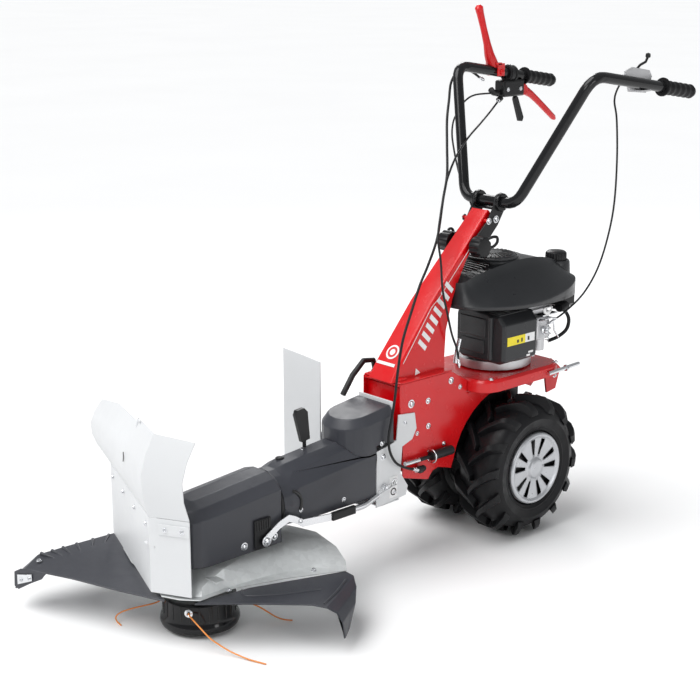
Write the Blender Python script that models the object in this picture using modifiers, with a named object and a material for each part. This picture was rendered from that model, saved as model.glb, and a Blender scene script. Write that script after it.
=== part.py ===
"""Walk-behind brush mower with a line-trimmer head, as separate named sub-parts.

Metres, +Z up. The origin is on the ground under the cutter's axis, -Y is the
direction of travel and +X is the operator's left.
"""

import math

import bmesh
import bpy
from mathutils import Matrix, Vector

# ---------------------------------------------------------------- driving dimensions
AXLE_Y = 0.849            # wheel axle behind the cutter's axis
TYRE_RADIUS = 0.165       # 13 inch ribbed tyre
TYRE_WIDTH = 0.125
TYRE_INNER_X = 0.030      # the tyres stand close beside the transmission
RIM_RADIUS = 0.0857
AXLE_RADIUS = 0.010
ARM_Z = 0.220             # height of the drive shaft and of the head's tilt axis
SHEET = 0.003             # folded steel and moulded covers
GAP = 0.0004              # left between touching pieces

COVER_HALF = 0.068        # half width of the arm's covers
HEAD_FRONT, HEAD_REAR = -0.076, 0.160
MIDDLE_FRONT, MIDDLE_REAR = 0.170, 0.428
DOME_FRONT, DOME_REAR = 0.352, 0.480
DOME_LOW = 0.264

CHASSIS_HALF = 0.055      # half width inside the chassis side plates
CHASSIS_FRONT, CHASSIS_TOP = 0.503, 0.412
ENGINE_X, ENGINE_Y = 0.0, 0.862
ENGINE_PLATE_Z = 0.385
SHROUD_LOW, SHROUD_ROOF = 0.546, 0.626

TUBE_RADIUS = 0.0125      # handlebar tube
BAR_PIVOT = (0.0, 0.795, 0.729)
BAR_FOOT = (0.838, 0.7665)           # (y, z) of the bottom run across the column
BAR_REAR = (0.208, 1.288, 0.9950)    # end of the tube's left half
BAR_BEND = (0.202, 0.937, 1.050)     # where it turns back towards the operator
LEVER_SIDE = -0.2055      # the operator's right grip carries the levers

DRUM_RADIUS = 0.074
DRUM_TOP = 0.072
RIM_Z = 0.010             # the drum's rim stands this far above its glide button
BUTTON_RADIUS = 0.044
GUARD_LEVEL = 0.096       # underside of the guard's flaps
GUARD_ANGLE = math.radians(33.0)   # the guard stands turned about the cutter's axis

FINISHES = {              # colour, roughness, metallic
    "red": ((0.62, 0.006, 0.008), 0.25, 0.0),
    "white": ((0.86, 0.86, 0.86), 0.45, 0.0),
    "galvanised": ((0.60, 0.62, 0.63), 0.38, 1.0),
    "steel": ((0.72, 0.72, 0.74), 0.28, 1.0),
    "cast": ((0.55, 0.56, 0.57), 0.5, 1.0),
    "black_gloss": ((0.012, 0.012, 0.014), 0.18, 0.0),
    "black": ((0.02, 0.02, 0.022), 0.5, 0.0),
    "rubber": ((0.018, 0.018, 0.018), 0.75, 0.0),
    "grey_plastic": ((0.065, 0.067, 0.078), 0.42, 0.0),
    "hub": ((0.62, 0.63, 0.65), 0.35, 0.6),
    "line": ((0.72, 0.30, 0.08), 0.35, 0.0),
}

for old in list(bpy.data.objects):
    bpy.data.objects.remove(old, do_unlink=True)

mower = bpy.data.collections.new("brush_mower")
cutters = bpy.data.collections.new("cutters")
bpy.context.scene.collection.children.link(mower)
bpy.context.scene.collection.children.link(cutters)


# ---------------------------------------------------------------- tools
def finish(obj, name, smooth_below=None):
    """Give the object its own Principled material, and round shading if an angle is named."""
    colour, roughness, metallic = FINISHES[name]
    material = bpy.data.materials.new(obj.name)
    material.use_nodes = True
    shader = material.node_tree.nodes["Principled BSDF"]
    shader.inputs["Base Color"].default_value = (*colour, 1.0)
    shader.inputs["Roughness"].default_value = roughness
    shader.inputs["Metallic"].default_value = metallic
    obj.data.materials.append(material)
    if smooth_below is not None and obj.type == "MESH":
        obj.data.shade_smooth()
        obj.data.set_sharp_from_angle(angle=math.radians(smooth_below))
    mower.objects.link(obj)
    return obj


def mesh_object(name, bm):
    mesh = bpy.data.meshes.new(name)
    bmesh.ops.recalc_face_normals(bm, faces=bm.faces)
    bm.to_mesh(mesh)
    bm.free()
    return bpy.data.objects.new(name, mesh)


def bevelled(obj, width, segments=1, limit=30.0):
    if width > 0:
        bevel = obj.modifiers.new("Bevel", "BEVEL")
        bevel.width = width
        bevel.segments = segments
        bevel.limit_method = "ANGLE"
        bevel.angle_limit = math.radians(limit)
    return obj


def block(name, low, high, colour, bevel=0.0, segments=1):
    """A box between two corners, with its origin at its centre."""
    low, high = Vector(low), Vector(high)
    bm = bmesh.new()
    size = Matrix.Diagonal((high - low).to_4d())
    bmesh.ops.create_cube(bm, size=1.0, matrix=size)
    obj = mesh_object(name, bm)
    obj.location = (low + high) / 2
    return bevelled(finish(obj, colour), bevel, segments)


def rod(name, start, end, radius, colour, sides=16, end_radius=None):
    """A round bar, or a cone if its end has another radius."""
    start, end = Vector(start), Vector(end)
    bm = bmesh.new()
    bmesh.ops.create_cone(
        bm, cap_ends=True, segments=sides, radius1=radius,
        radius2=radius if end_radius is None else end_radius, depth=(end - start).length,
    )
    obj = mesh_object(name, bm)
    obj.location = (start + end) / 2
    obj.rotation_mode = "QUATERNION"
    obj.rotation_quaternion = Vector((0, 0, 1)).rotation_difference(end - start)
    return finish(obj, colour, 40)


def turned(name, profile, centre, axis, colour, steps=32):
    """A closed profile of (radius, height) points, turned about an axis through centre.

    Two neighbouring points on the axis have no edge between them, so the surface closes there.
    """
    bm = bmesh.new()
    points = [bm.verts.new((radius, 0.0, height)) for radius, height in profile]
    for first, second in zip(points, points[1:] + points[:1]):
        if first.co.x > 0 or second.co.x > 0:
            bm.edges.new((first, second))
    mesh = bpy.data.meshes.new(name)
    bm.to_mesh(mesh)
    bm.free()
    obj = bpy.data.objects.new(name, mesh)
    screw = obj.modifiers.new("Screw", "SCREW")
    screw.steps = steps
    screw.render_steps = steps
    screw.use_merge_vertices = True
    screw.merge_threshold = 0.00001
    obj.location = centre
    obj.rotation_mode = "QUATERNION"
    obj.rotation_quaternion = Vector((0, 0, 1)).rotation_difference(Vector(axis))
    return finish(obj, colour, 35)


def along_x(obj, x):
    """Stand a flat outline drawn in (y, z) upright, across the X axis."""
    obj.matrix_world = Matrix(((0, 0, 1, x), (1, 0, 0, 0), (0, 1, 0, 0), (0, 0, 0, 1)))
    return obj


def along_y(obj, y):
    """Stand a flat outline drawn in (x, z) upright, across the Y axis."""
    obj.matrix_world = Matrix(((1, 0, 0, 0), (0, 0, -1, y), (0, 1, 0, 0), (0, 0, 0, 1)))
    return obj


def flat(name, outlines, thickness, colour):
    """A flat plate in its local XY plane: the first outline is the edge, the others are holes."""
    curve = bpy.data.curves.new(name, "CURVE")
    curve.dimensions = "2D"
    curve.fill_mode = "BOTH"
    curve.extrude = thickness / 2
    for outline in outlines:
        spline = curve.splines.new("POLY")
        spline.points.add(len(outline) - 1)
        for point, (x, y) in zip(spline.points, outline):
            point.co = (x, y, 0, 1)
        spline.use_cyclic_u = True
    return finish(bpy.data.objects.new(name, curve), colour)


def circle(centre, radius, count=16):
    turn = 2 * math.pi / count
    return [
        (centre[0] + radius * math.cos(i * turn), centre[1] + radius * math.sin(i * turn))
        for i in range(count)
    ]


def arc(centre, radius, start, end, count):
    """Points on an arc between two angles in degrees."""
    angles = [math.radians(start + (end - start) * i / (count - 1)) for i in range(count)]
    return [(centre[0] + radius * math.cos(a), centre[1] + radius * math.sin(a)) for a in angles]


def smooth_route(points, spacing):
    """Points about a spacing apart on a smooth curve through the given points."""
    ends = [2 * Vector(points[0]) - Vector(points[1])]
    ends += [Vector(p) for p in points]
    ends += [2 * Vector(points[-1]) - Vector(points[-2])]
    route = [ends[1]]
    for a, b, c, d in zip(ends, ends[1:], ends[2:], ends[3:]):
        count = max(1, round((c - b).length / spacing))
        for step in range(1, count + 1):
            t = step / count
            route.append(
                ((2 * b) + (c - a) * t + (2 * a - 5 * b + 4 * c - d) * t ** 2
                 + (3 * b - a - 3 * c + d) * t ** 3) / 2
            )
    return route


def filleted(points, radius, count=5):
    """A path of straight runs whose corners are rounded to a radius."""
    points = [Vector(p) for p in points]
    path = [points[0]]
    for before, corner, after in zip(points, points[1:], points[2:]):
        into, out = (before - corner).normalized(), (after - corner).normalized()
        half = into.angle(out) / 2
        reach = radius / math.tan(half)
        start, end = corner + into * reach, corner + out * reach
        for step in range(count + 1):
            t = step / count
            path.append(start.lerp(corner, t).lerp(corner.lerp(end, t), t))
    return path + [points[-1]]


def tube(name, path, radius, colour, resolution=2):
    curve = bpy.data.curves.new(name, "CURVE")
    curve.dimensions = "3D"
    curve.bevel_depth = radius
    curve.bevel_resolution = resolution
    curve.use_fill_caps = True
    spline = curve.splines.new("POLY")
    spline.points.add(len(path) - 1)
    for point, place in zip(spline.points, path):
        point.co = (*place, 1)
    return finish(bpy.data.objects.new(name, curve), colour)


def lofted(name, rows, colour, thickness, closed=False, roof=False, offset=-1.0, smooth=35):
    """A sheet through rows of points, thickened; closed joins each row's ends, roof caps the last row."""
    bm = bmesh.new()
    grid = [[bm.verts.new(point) for point in row] for row in rows]
    for low, high in zip(grid, grid[1:]):
        count = len(low) if closed else len(low) - 1
        for i in range(count):
            j = (i + 1) % len(low)
            bm.faces.new((low[i], low[j], high[j], high[i]))
    if roof:
        bm.faces.new(grid[-1])
    mesh = bpy.data.meshes.new(name)
    bm.to_mesh(mesh)
    bm.free()
    obj = bpy.data.objects.new(name, mesh)
    shell = obj.modifiers.new("Solidify", "SOLIDIFY")
    shell.thickness = thickness
    shell.offset = offset
    shell.use_even_offset = True
    return finish(obj, colour, smooth)


def solid_loft(name, rings, colour, smooth=35):
    """A closed solid through rings of points, capped at both ends."""
    bm = bmesh.new()
    grid = [[bm.verts.new(point) for point in ring] for ring in rings]
    for low, high in zip(grid, grid[1:]):
        for i in range(len(low)):
            j = (i + 1) % len(low)
            bm.faces.new((low[i], low[j], high[j], high[i]))
    bm.faces.new(grid[0][::-1])
    bm.faces.new(grid[-1])
    return finish(mesh_object(name, bm), colour, smooth)


def as_mesh(obj):
    """Turn a curve object into a welded mesh object of the same name and place."""
    if obj.type == "MESH":
        return obj
    bpy.context.view_layer.update()
    graph = bpy.context.evaluated_depsgraph_get()
    mesh = bpy.data.meshes.new_from_object(obj.evaluated_get(graph))
    bm = bmesh.new()
    bm.from_mesh(mesh)
    bmesh.ops.remove_doubles(bm, verts=bm.verts, dist=0.00001)
    bm.to_mesh(mesh)
    bm.free()
    name, place = obj.name, obj.matrix_world.copy()
    bpy.data.objects.remove(obj, do_unlink=True)
    solid = bpy.data.objects.new(name, mesh)
    solid.matrix_world = place
    mower.objects.link(solid)
    return solid


def combine(base, tool, operation):
    """Boolean: join tool to base, or cut it out, and put tool away with the cutters."""
    base, tool = as_mesh(base), as_mesh(tool)
    boolean = base.modifiers.new(operation.title(), "BOOLEAN")
    boolean.operation = operation
    boolean.object = tool
    mower.objects.unlink(tool)
    cutters.objects.link(tool)
    tool.hide_render = True
    tool.display_type = "WIRE"
    return base


def joined(base, *tools):
    for tool in tools:
        base = combine(base, tool, "UNION")
    return base


def cut(base, *tools):
    for tool in tools:
        base = combine(base, tool, "DIFFERENCE")
    return base


def on_pivot(name, place, *pieces):
    """Hang pieces on an empty that stands on their joint's axis."""
    empty = bpy.data.objects.new(name, None)
    empty.location = place
    empty.empty_display_size = 0.03
    mower.objects.link(empty)
    for piece in pieces:
        piece.parent = empty
        piece.matrix_parent_inverse = Matrix.Translation(place).inverted()


def interpolated(stations, at):
    """Value at a height from a list of (height, value) stations."""
    for (z0, v0), (z1, v1) in zip(stations, stations[1:]):
        if at <= z1:
            return v0 + (v1 - v0) * (at - z0) / (z1 - z0)
    return stations[-1][1]


# ---------------------------------------------------------------- wheels
def wheel(side):
    """Tyre and rim on one side: +1 is the operator's left."""
    tag = "left" if side > 0 else "right"
    x = side * (TYRE_INNER_X + TYRE_WIDTH / 2)
    centre, axis = (x, AXLE_Y, TYRE_RADIUS), (side, 0, 0)
    half = TYRE_WIDTH / 2
    bead = RIM_RADIUS + GAP
    tread = [
        (TYRE_RADIUS, half - 0.020), (TYRE_RADIUS, 0.020 - half), (0.157, 0.006 - half),
        (0.137, -half), (0.104, 0.003 - half), (bead, 0.010 - half),
        (bead, half - 0.010), (0.104, half - 0.003), (0.137, half), (0.157, half - 0.006),
    ]
    tyre = turned(f"tyre_{tag}", tread, centre, axis, "rubber", 36)
    face = half - 0.001
    rim_profile = [
        (RIM_RADIUS, face - 0.006), (RIM_RADIUS, 0.012 - half), (0.078, 0.010 - half),
        (0.070, 0.030 - half), (0.028, 0.030 - half), (0.028, 0.002 - half),
        (AXLE_RADIUS + GAP, 0.002 - half), (AXLE_RADIUS + GAP, face - 0.012), (0.0, face - 0.012),
        (0.0, face + 0.001), (0.021, face), (0.030, face - 0.005), (0.070, face - 0.001),
        (0.080, face),
    ]
    rim = turned(f"rim_{tag}", rim_profile, centre, axis, "hub", 36)
    on_pivot(f"wheel_{tag}_axis", (x, AXLE_Y, TYRE_RADIUS), tyre, rim)


def axle_and_transmission():
    """Narrow case between the tyres, with the fixed axle through it."""
    end = TYRE_INNER_X + TYRE_WIDTH - 0.0145
    rod("axle", (-end, AXLE_Y, TYRE_RADIUS), (end, AXLE_Y, TYRE_RADIUS), AXLE_RADIUS, "steel")
    outline = arc((AXLE_Y, TYRE_RADIUS), 0.062, 200, 350, 8)
    outline += [(0.925, 0.250), (0.925, 0.345), (0.700, 0.345), (0.690, 0.200)]
    bore = circle((AXLE_Y, TYRE_RADIUS), AXLE_RADIUS + GAP)
    case = along_x(flat("transmission_case", [outline, bore], 0.052, "black"), 0.0)
    shaft_hole = rod("case_shaft_bore", (0, 0.66, ARM_Z), (0, 0.760, ARM_Z), 0.0125, "black")
    crank_hole = rod("case_crank_bore", (0, ENGINE_Y, 0.28), (0, ENGINE_Y, 0.36), 0.0125, "black")
    cut(case, shaft_hole, crank_hole)


# ---------------------------------------------------------------- chassis
def chassis_frame():
    """Two side plates, joined by a front plate and a top plate, as one welded frame."""
    arch = arc((AXLE_Y, TYRE_RADIUS), 0.180, 62, 167, 12)
    outline = [
        (CHASSIS_FRONT, CHASSIS_TOP), (CHASSIS_FRONT, 0.365), (0.513, 0.277), (0.513, 0.199),
        (0.592, 0.177), (0.606, 0.194), (0.625, 0.198), (0.666, 0.186),
    ]
    outline += arch[::-1]
    outline += [(0.955, 0.345), (0.955, 0.3780), (0.7245, 0.3780), (0.7245, 0.352)]
    outline += [(0.7125, 0.352), (0.7125, 0.383), (0.662, CHASSIS_TOP)]
    middle = CHASSIS_HALF + SHEET / 2
    left = along_x(flat("chassis_frame", [outline], SHEET, "red"), middle)
    right = along_x(flat("right_side_plate", [outline], SHEET, "red"), -middle)
    inner = CHASSIS_HALF + 0.001
    front = block(
        "front_plate", (-inner, CHASSIS_FRONT + 0.012, 0.212), (inner, CHASSIS_FRONT + 0.016, 0.400), "red"
    )
    top = block(
        "top_plate", (-inner, CHASSIS_FRONT + 0.001, CHASSIS_TOP - 0.006),
        (inner, 0.650, CHASSIS_TOP - 0.001), "red",
    )
    bridge = block("bridge_plate", (-inner, 0.706, 0.352), (inner, 0.950, 0.356), "red")
    frame = joined(left, right, front, top, bridge)
    shaft_hole = rod("frame_shaft_hole", (0, 0.50, ARM_Z), (0, 0.53, ARM_Z), 0.024, "red")
    crank_hole = rod("frame_crank_hole", (0, ENGINE_Y, 0.34), (0, ENGINE_Y, 0.37), 0.020, "red")
    cut(frame, shaft_hole, crank_hole)


def column():
    """Tapering folded channel, open at the back, that carries the handlebar."""
    front = [(0.413, 0.497), (0.436, 0.512), (0.567, 0.619), (0.630, 0.682), (0.752, 0.803)]
    rear = [
        (0.413, 0.660), (0.440, 0.660), (0.525, 0.669), (0.587, 0.697), (0.649, 0.734),
        (0.700, 0.778), (0.752, 0.832),
    ]
    half = [(0.413, 0.038), (0.752, 0.024)]
    lip = 0.004
    rows = []
    for z in (0.4125, 0.440, 0.500, 0.567, 0.610, 0.649, 0.700, 0.752):
        y0, y1, w = interpolated(front, z), interpolated(rear, z), interpolated(half, z)
        rows.append([
            (w, y1, z), (w, y0 + lip, z), (w - lip, y0, z),
            (lip - w, y0, z), (-w, y0 + lip, z), (-w, y1, z),
        ])
    top = rows[-1]
    rows[-1] = [(x, y - 0.010, z - 0.014) if y > 0.81 else (x, y, z) for x, y, z in top]
    body = lofted("column", rows, "red", SHEET, offset=1.0, smooth=50)
    bolt = rod("pivot_bolt", (-0.0365, *BAR_PIVOT[1:]), (0.0365, *BAR_PIVOT[1:]), 0.0042, "steel", 12)
    joined(body, bolt)


def rounded_plan(half_x, low_y, high_y, radius, inset=0.0, count=4):
    """A rounded rectangle's outline, anticlockwise seen from above, shrunk by an inset."""
    x, y0, y1, r = half_x - inset, low_y + inset, high_y - inset, max(radius - inset, 0.002)
    plan = arc((x - r, y0 + r), r, -90, 0, count) + arc((x - r, y1 - r), r, 0, 90, count)
    plan += arc((r - x, y1 - r), r, 90, 180, count) + arc((r - x, y0 + r), r, 180, 270, count)
    return plan


def engine_plate():
    """Tray with a turned-down rim that the engine is bolted to, with its rear lugs."""
    rows = []
    for inset, z in ((0.0, 0.357), (0.0, ENGINE_PLATE_Z - 0.006), (0.006, ENGINE_PLATE_Z)):
        rows.append([(x, y, z) for x, y in rounded_plan(0.112, 0.715, 0.990, 0.045, inset)])
    plate = lofted("engine_plate", rows, "red", SHEET, closed=True, roof=True)
    lug = [(0.980, 0.372), (1.000, 0.380), (1.034, 0.352), (1.018, 0.303), (0.986, 0.298), (0.980, 0.330)]
    lugs = []
    for x in (0.060, -0.060):
        lugs.append(along_x(flat(f"plate_lug_{'left' if x > 0 else 'right'}", [lug], 0.005, "red"), x))
    tie = block("plate_tie", (-0.061, 0.998, 0.325), (0.061, 1.012, 0.331), "red")
    plate = joined(plate, *lugs, tie)
    cut(plate, rod("plate_crank_hole", (0, ENGINE_Y, 0.37), (0, ENGINE_Y, 0.40), 0.030, "red", 20))


def hitch():
    """Grey coupling between chassis and arm: a face plate with a cheek down each side."""
    cheek = [
        (0.431, 0.152), (0.431, 0.279), (0.470, 0.286), (0.490, 0.292), (0.496, 0.348),
        (0.545, 0.343), (0.551, 0.306), (0.538, 0.284), (0.508, 0.274), (0.503, 0.215),
        (0.526, 0.180), (0.520, 0.160),
    ]
    middle = CHASSIS_HALF + SHEET + GAP + SHEET / 2
    left = along_x(flat("hitch_bracket", [cheek], SHEET, "white"), middle)
    right = along_x(flat("hitch_cheek_right", [cheek], SHEET, "white"), -middle)
    reach = middle + 0.001
    face = block("hitch_face", (-reach, 0.484, 0.200), (reach, 0.488, 0.292), "white")
    upright = block("hitch_upright", (-0.052, 0.484, 0.290), (0.052, 0.488, 0.378), "white")
    foot = block("hitch_foot", (-reach, 0.436, 0.153), (reach, 0.500, 0.156), "white")
    hitch_body = joined(left, right, face, upright, foot)
    cut(
        hitch_body,
        rod("hitch_shaft_hole", (0, 0.46, ARM_Z), (0, 0.50, ARM_Z), 0.0206, "white", 20),
        rod("hitch_pin_hole", (-0.09, 0.452, 0.196), (0.09, 0.452, 0.196), 0.0044, "white", 12),
    )


def hitch_pin():
    """Cross pin with a spring clip on its near end."""
    pin = rod("hitch_pin", (-0.068, 0.452, 0.196), (0.072, 0.452, 0.196), 0.0038, "steel", 12)
    head = rod("hitch_pin_head", (0.0625, 0.452, 0.196), (0.066, 0.452, 0.196), 0.007, "steel", 12)
    joined(pin, head)


def coupling_plunger():
    """Spring plunger on the near side plate that locks the arm to the chassis."""
    x, z = CHASSIS_HALF + SHEET + 0.0115, 0.235
    barrel = rod("coupling_plunger", (x, 0.588, z), (x, 0.655, z), 0.0105, "black", 14)
    tip = rod("plunger_tip", (x, 0.556, z), (x, 0.590, z), 0.0045, "steel", 10)
    joined(barrel, tip)


def gear_lever():
    """Oblique lever on the far side of the column's foot."""
    x = -0.0825
    y, z = 0.565, 0.398
    path = [(x, y, z), (x, 0.556, 0.430), (x, 0.527, 0.434), (x, 0.494, 0.407), (x, 0.464, 0.367)]
    lever = tube("gear_lever", path, 0.0065, "black")
    boss = rod("gear_lever_boss", (x - 0.008, y, z), (-CHASSIS_HALF - SHEET - GAP, y, z), 0.011, "black", 12)
    on_pivot("gear_lever_axis", (x, y, z), joined(lever, boss))


# ---------------------------------------------------------------- arm and its covers
def arm():
    """Tube from the chassis to the head, with the drive shaft inside it."""
    profile = [(0.0200, 0.442), (0.0200, 0.0), (0.0135, 0.0), (0.0135, 0.442)]
    turned("arm_tube", profile, (0, 0.060, ARM_Z), (0, 1, 0), "cast", 20)
    shaft = rod("drive_shaft", (0, 0.034, ARM_Z), (0, 0.745, ARM_Z), 0.0085, "steel", 14)
    pinion = rod(
        "bevel_pinion", (0, 0.018, ARM_Z), (0, 0.036, ARM_Z), 0.0095, "steel", 16, end_radius=0.0155
    )
    joined(shaft, pinion)


def section(half, low, side, shoulder, shoulder_half, crown, crown_half):
    """Half-octagon cross-section of a cover, from the near foot over the top to the far foot."""
    right = [(half, low), (half, side), (shoulder_half, shoulder), (crown_half, crown)]
    return right + [(-x, z) for x, z in reversed(right)]


def middle_cover():
    """Cover over the arm: round at the front collar, where the head turns, and angular behind."""
    collar = arc((0.0, ARM_Z), COVER_HALF, -38, 218, 14)
    rows = []
    for y in (MIDDLE_FRONT, MIDDLE_FRONT + 0.020):
        rows.append([(x, y, z) for x, z in collar])
    for y, rise in ((0.215, 0.0), (MIDDLE_REAR, 0.020)):
        outline = section(0.064, 0.180, 0.256 + rise, 0.283 + rise, 0.040, 0.296 + rise, 0.018)
        feet = [(0.064, 0.180), (0.064, 0.195), (0.064, 0.215), (0.064, 0.236)]
        half = feet + outline[1:4]
        rows.append([(x, y, z) for x, z in half] + [(-x, y, z) for x, z in reversed(half)])
    cover = lofted("middle_cover", rows, "grey_plastic", SHEET, offset=1.0, smooth=30)
    nose = nose_plan(0.0625, DOME_FRONT, MIDDLE_REAR + 0.02, 0.058, -0.0006)
    seat = solid_loft("dome_seat", [[(x, y, z) for x, y in nose] for z in (DOME_LOW - 0.0006, 0.40)], "black")
    cut(cover, seat)


def nose_plan(half, front, rear, radius, inset, count=6):
    """Open plan outline round a nose, from the near rear corner round the front to the far one."""
    x, y, r = half - inset, front + inset, radius - inset
    near = arc((x - r, y + r), r, 0, -90, count)
    return [(x, rear)] + near + [(-a, b) for a, b in reversed(near)] + [(-x, rear)]


def nose_cover(name, half, front, rear, radius, levels, slope):
    """Hooded cover, open below and behind: levels are (inset, height), rising towards the rear."""
    rows = []
    for inset, z, lift in levels:
        plan = nose_plan(half, front, rear, radius, inset)
        rows.append([(x, y, z + lift * slope * (y - front)) for x, y in plan])
    return lofted(name, rows, "grey_plastic", SHEET, roof=True, offset=1.0, smooth=30)


def head_cover():
    levels = ((0.0, 0.152, 0), (0.0, 0.245, 1), (0.020, 0.262, 1), (0.048, 0.271, 1))
    nose_cover("head_cover", COVER_HALF, HEAD_FRONT, HEAD_REAR, 0.052, levels, 0.09)


def rear_cover():
    levels = ((0.0, DOME_LOW, 0), (0.0, 0.336, 1), (0.013, 0.354, 1))
    dome = nose_cover("rear_cover", 0.0625, DOME_FRONT, DOME_REAR, 0.058, levels, 0.14)
    return cut(dome, block("cheek_room", (-0.08, 0.4304, 0.25), (0.08, 0.52, 0.2926), "black"))


SELECTOR_PIVOT = (-0.012, 0.291, 0.3048)    # just above the middle cover's flat crown


def selector_lever():
    """Flat handle that stands up out of the middle cover."""
    outline = [(0.281, 0.318), (0.264, 0.380), (0.268, 0.390), (0.288, 0.392), (0.297, 0.383), (0.303, 0.322)]
    x, y, z = SELECTOR_PIVOT
    handle = along_x(flat("selector_lever", [outline], 0.011, "black"), x)
    stem = rod("selector_stem", (x, y, z), (x, y, 0.325), 0.004, "steel", 12)
    on_pivot("selector_axis", SELECTOR_PIVOT, joined(handle, stem))


def rear_guard():
    """Upright plate beside the rear cover on the far side, on a bracket under the arm."""
    low_x, high_x, y = -0.197, -0.0745, 0.392
    outline = [(low_x, 0.215), (high_x, 0.190), (high_x, 0.458), (low_x + 0.070, 0.462), (low_x, 0.466)]
    plate = along_y(flat("rear_guard", [outline], 0.0025, "white"), y)
    flange = block("guard_flange", (-0.0755, y - 0.001, 0.195), (-0.0735, 0.432, 0.300), "white")
    foot = block("guard_foot", (-0.0755, 0.3915, 0.165), (0.050, 0.4225, 0.168), "white")
    web = block("guard_web", (-0.0755, 0.3915, 0.166), (-0.0735, 0.4225, 0.205), "white")
    joined(plate, flange, web, foot)


# ---------------------------------------------------------------- cutting head
def gear_case():
    """Cast housing round the bevel gears, open below, with a socket for the arm tube."""
    profile = [
        (0.054, 0.178), (0.058, 0.172), (0.058, 0.156), (0.049, 0.156),
        (0.049, 0.172), (0.046, 0.240), (0.0, 0.246), (0.0, 0.252), (0.036, 0.250), (0.051, 0.240),
    ]
    case = turned("gear_case", profile, (0, 0, 0), (0, 0, 1), "cast", 24)
    socket_profile = [(0.0255, 0.040), (0.0255, 0.0), (0.0205, 0.0), (0.0205, 0.040)]
    socket = turned("arm_socket", socket_profile, (0, 0.045, ARM_Z), (0, 1, 0), "cast", 20)
    bore = rod("case_bore", (0, 0.030, ARM_Z), (0, 0.100, ARM_Z), 0.0206, "cast", 20)
    case = cut(case, bore)
    joined(case, socket)


def spindle():
    """Vertical spindle with the crown gear on its top end."""
    shaft = rod("spindle", (0, 0, 0.050), (0, 0, 0.190), 0.009, "steel", 14)
    crown = rod("crown_gear", (0, 0, 0.184), (0, 0, 0.200), 0.036, "steel", 20, end_radius=0.030)
    return joined(shaft, crown)


def cutter_drum():
    """Line head: a drum with a flared rim, and a glide button under it that slides on the ground."""
    profile = [
        (0.066, DRUM_TOP), (DRUM_RADIUS, 0.068), (DRUM_RADIUS, 0.036), (0.0795, 0.026),
        (0.0810, 0.018), (0.0780, RIM_Z), (0.050, RIM_Z), (BUTTON_RADIUS, 0.0), (0.0, 0.0),
        (0.0, 0.004), (0.040, 0.004), (0.046, RIM_Z + 0.004), (0.064, RIM_Z + 0.004),
        (0.068, 0.030), (0.068, 0.062), (0.060, 0.066), (0.0095, 0.066), (0.0095, DRUM_TOP),
    ]
    return turned("cutter_drum", profile, (0, 0, 0), (0, 0, 1), "black_gloss", 32)


def line_spool():
    """Spool that holds the wound line inside the drum."""
    profile = [
        (0.055, 0.060), (0.055, 0.056), (0.030, 0.056), (0.030, 0.022), (0.055, 0.022),
        (0.055, 0.018), (0.0096, 0.018), (0.0096, 0.060),
    ]
    return turned("line_spool", profile, (0, 0, 0), (0, 0, 1), "black", 24)


LINE_RADIUS = 0.0015
TRIMMER_LINES = {
    "trimmer_line_front": [
        (0.0448, -0.0612, 0.0560), (0.0510, -0.0640, 0.0550), (0.0654, -0.0657, 0.0515),
        (0.0878, -0.0659, 0.0430), (0.1157, -0.0633, 0.0300), (0.1346, -0.0540, 0.0190),
        (0.1549, -0.0457, 0.0110), (0.1748, -0.0372, 0.0060), (0.1961, -0.0298, 0.0032),
        (0.2289, -0.0173, 0.0020),
    ],
    "trimmer_line_far": [
        (-0.0612, -0.0448, 0.0560), (-0.0632, -0.0480, 0.0500), (-0.0663, -0.0515, 0.0430),
        (-0.0740, -0.0640, 0.0380), (-0.0900, -0.0800, 0.0320), (-0.1060, -0.0960, 0.0255),
        (-0.1190, -0.1110, 0.0180), (-0.1215, -0.1210, 0.0110), (-0.1130, -0.1245, 0.0050),
        (-0.0981, -0.1249, 0.0020),
    ],
    "trimmer_line_near": [
        (0.0612, 0.0448, 0.0560), (0.0660, 0.0520, 0.0550), (0.0760, 0.0680, 0.0490),
        (0.0860, 0.0840, 0.0390), (0.0950, 0.0990, 0.0260), (0.1030, 0.1130, 0.0140),
        (0.1110, 0.1280, 0.0060), (0.1180, 0.1430, 0.0020),
    ],
}


def trimmer_lines():
    lines = []
    for name, points in TRIMMER_LINES.items():
        route = smooth_route(points, 0.0085)
        lines.append(tube(name, route, LINE_RADIUS, "line"))
    return lines


def guard_place(u, v, z):
    """Guard coordinates to the machine's: u runs across the guard and v forward."""
    across = Vector((math.cos(GUARD_ANGLE), math.sin(GUARD_ANGLE), 0))
    ahead = Vector((math.sin(GUARD_ANGLE), -math.cos(GUARD_ANGLE), 0))
    return across * u + ahead * v + Vector((0, 0, z))


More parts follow.
